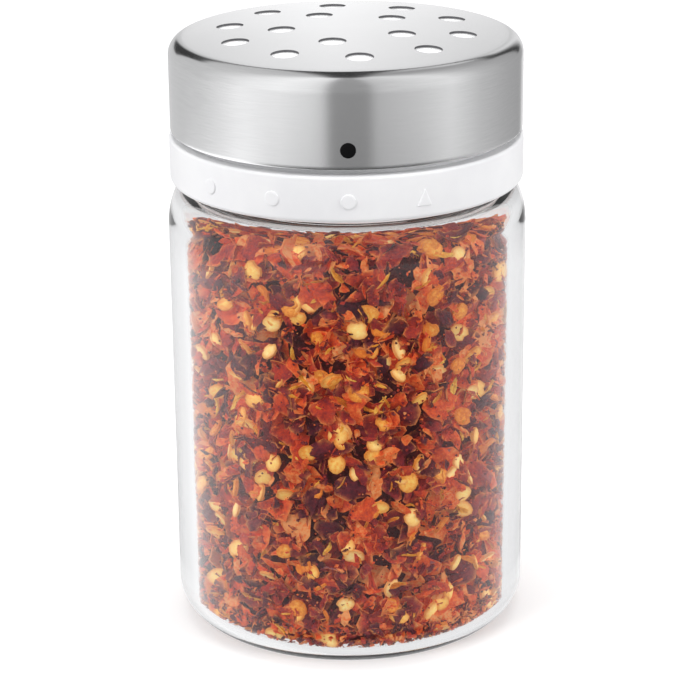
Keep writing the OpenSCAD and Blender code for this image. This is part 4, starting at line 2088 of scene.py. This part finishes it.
@dataclass(frozen=True)
class Surroundings:
    """What lies all round the scene: white to the camera, and a studio to mirrors and glass.

    The studio has walls, whose brightness is given azimuth by azimuth, a bright card behind the
    shaker and dark gaps round the card and overhead. Edges are pairs: where one starts, in the
    direction's own x, y or z, and how wide it is. A negative width leads the other way.
    """

    ambient: float = 0.49
    gain: float = 4.0
    walls: tuple[Pair, ...] = (
        (-180.0, 0.7),
        (-140.0, 0.76),
        (-107.0, 0.8),
        (-88.0, 0.97),
        (-67.0, 1.26),
        (-45.0, 1.38),
        (-24.0, 1.22),
        (-16.0, 1.06),
        (-9.5, 0.44),
        (13.0, 0.44),
        (19.0, 0.78),
        (48.0, 0.98),
        (70.0, 1.14),
        (96.0, 0.72),
        (120.0, 0.56),
        (150.0, 0.44),
        (180.0, 0.7),
    )
    low_walls: tuple[Pair, ...] = (
        (-180.0, 0.85),
        (-150.0, 0.85),
        (-136.0, 1.1),
        (-122.0, 2.0),
        (-75.0, 2.0),
        (-50.0, 0.35),
        (-30.0, 0.12),
        (50.0, 0.12),
        (66.0, 0.36),
        (100.0, 0.8),
        (150.0, 0.8),
        (180.0, 1.0),
    )
    low_edge: Pair = (-0.288, -0.012)
    behind: Pair = (0.55, 0.1)
    card_half: float = 0.22
    card_right: float = 0.58
    card_top: float = 0.5
    card_blend: float = 0.05
    card_level: float = 1.27
    card_fall: float = 2.6
    card_base: float = 0.45
    card_rise: float = 1.8
    gap_level: float = 0.05
    gap_blend: float = 0.04
    over_height: float = 0.12
    side_low: float = 0.06
    side_lean: float = 0.13
    side_half: float = 0.6
    side_height: float = 0.1
    overhead_front: Pair = (-0.15, 0.1)
    overhead_side: Pair = (0.14, -0.06)
    glass_back: Pair = (0.2, 0.5)
    glass_front: Pair = (-0.35, -0.25)
    glass_floor: Pair = (-0.39, -0.06)
    floor_white: float = 0.86
    back_white: float = 0.9
    side_white: float = 0.84
    tint: Linear = (0.993, 0.99, 1.0, 1.0)

    def level_round(self, graph: Graph, turn: Socket, table: Sequence[Pair]) -> Socket:
        """The brightness that a table of azimuths and levels gives at a turn from 0 to 1."""
        stops = [(0.5 + angle / 360.0, [level / self.gain] * 3 + [1.0]) for angle, level in table]
        return graph.math("MULTIPLY", graph.ramp(turn, stops), self.gain)

    def wall(self, graph: Graph, way: Sequence[Socket]) -> Socket:
        """The walls' brightness.

        Args:
            graph: The world's graph.
            way: The direction's x, y and z.

        Returns:
            The brightness, which comes from low_walls below the low edge.
        """
        x, y, z = way
        turn = graph.math("ARCTAN2", x, graph.product(y, -1.0))
        turn = graph.math("MULTIPLY_ADD", turn, 0.5 / math.pi, 0.5)
        low = self.level_round(graph, turn, self.low_walls)
        high = self.level_round(graph, turn, self.walls)
        return graph.choose(graph.step(z, *self.low_edge), low, high)

    def mirrored(self, graph: Graph, way: Sequence[Socket]) -> Socket:
        """The brightness that mirrors see.

        Args:
            graph: The world's graph.
            way: The direction's x, y and z.

        Returns:
            The brightness of the walls, the card and the gaps.
        """
        x, y, z = way
        aside = graph.math("ABSOLUTE", x)
        behind = graph.step(y, *self.behind)
        above = graph.step(z, self.card_top, self.gap_blend)
        wide = graph.math("MAXIMUM", graph.product(x, self.card_right), graph.product(x, -1.0))
        leant = graph.math("MULTIPLY_ADD", x, self.side_lean, z)
        card = graph.product(behind, graph.step(wide, self.card_half, -self.card_blend))
        over_card = graph.product(
            behind, above, graph.step(z, self.card_top + self.over_height, -self.gap_blend)
        )
        beside_card = graph.product(
            behind,
            graph.step(wide, self.card_half, self.card_blend),
            graph.step(aside, self.side_half, -self.card_blend),
            graph.step(leant, self.side_low, self.gap_blend),
            graph.step(z, self.card_top + self.side_height, -self.side_height),
        )
        overhead = graph.product(
            above, graph.step(y, *self.overhead_front), graph.step(aside, *self.overhead_side)
        )
        fall = graph.math("MULTIPLY_ADD", aside, -self.card_fall * self.card_level, self.card_level)
        rise = graph.math("MULTIPLY_ADD", aside, self.card_rise, self.card_base)
        level = graph.choose(card, graph.math("MAXIMUM", fall, rise), self.wall(graph, way))
        for dark in (over_card, beside_card, overhead):
            level = graph.choose(dark, self.gap_level, level)
        return level

    def through_glass(self, graph: Graph, way: Sequence[Socket], mirrored: Socket) -> Socket:
        """The brightness that is seen through glass.

        Args:
            graph: The world's graph.
            way: The direction's x, y and z.
            mirrored: The brightness that mirrors see.

        Returns:
            The brightness, which is the mirrors' own towards the front.
        """
        _, y, z = way
        level = graph.choose(graph.step(y, *self.glass_back), self.back_white, self.side_white)
        level = graph.choose(graph.step(y, *self.glass_front), mirrored, level)
        return graph.choose(graph.step(z, *self.glass_floor), self.floor_white, level)

    def build(self) -> None:
        """Makes the world, which each kind of ray sees in its own brightness."""
        world = bpy.data.worlds.new("studio")
        bpy.context.scene.world = world
        world.cycles.sampling_method = "NONE"
        world.use_nodes = True
        graph = Graph(world.node_tree)
        way = graph.split(graph.add("ShaderNodeTexCoord").outputs["Generated"])
        path = graph.add("ShaderNodeLightPath").outputs
        camera_ray = path["Is Camera Ray"]
        diffuse_ray = graph.math("MINIMUM", path["Diffuse Depth"], 1.0)
        mirrored = self.mirrored(graph, way)
        clear = self.through_glass(graph, way, mirrored)
        level = graph.choose(path["Is Glossy Ray"], mirrored, self.ambient)
        level = graph.choose(path["Is Transmission Ray"], clear, level)
        level = graph.choose(diffuse_ray, self.ambient, level)
        level = graph.choose(camera_ray, 1.0, level)
        tint = graph.blend(camera_ray, self.tint, WHITE)
        light = graph.add("ShaderNodeBackground", {"Color": tint, "Strength": level})
        graph.add("ShaderNodeOutputWorld", {"Surface": light.outputs[0]})


@dataclass(frozen=True)
class Studio:
    """The camera, the floor, the surroundings and three softboxes."""

    camera: Camera = Camera()
    floor: Floor = Floor()
    surroundings: Surroundings = Surroundings()
    aim: Place = (0.0, 0.0, 0.06)
    lamps: tuple[Softbox, ...] = (
        Softbox("key_softbox", (-0.75, -0.5, 0.62), (0.4, 0.6), 5.9),
        Softbox("fill_softbox", (0.85, -0.35, 0.45), (0.4, 0.8), 5.2),
        Softbox("top_softbox", (0.0, 0.1, 0.95), (0.7, 0.7), 3.8),
    )

    def build(self) -> None:
        """Sets up the whole studio."""
        self.camera.build()
        self.floor.build()
        self.surroundings.build()
        for lamp in self.lamps:
            lamp.build(Vector(self.aim))
        bpy.context.scene.view_settings.view_transform = "Standard"


def main() -> None:
    """Builds the shaker's looks in order and reports each piece's triangle count."""
    logging.basicConfig(level=logging.INFO, format="%(name)s: %(message)s")
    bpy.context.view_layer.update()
    jar = GlassJar()
    Studio().build()
    pieces = jar.build()
    pieces += Filling(jar.cavity()).build()
    pieces += Collar(neck=jar.neck, ledge=jar.ledge).build()
    pieces += DialCap().build()
    for node, finish in (
        ("shutter_plate", PLATE_PLASTIC),
        ("cap_liner", LINER_PLASTIC),
        ("rim_gasket", SILICONE),
    ):
        pieces += CarriedPart(node, finish).dress()
    for piece in pieces:
        LOG.info("%s: %d triangles", piece.name, triangle_count(piece))


if __name__ == "__main__":
    main()
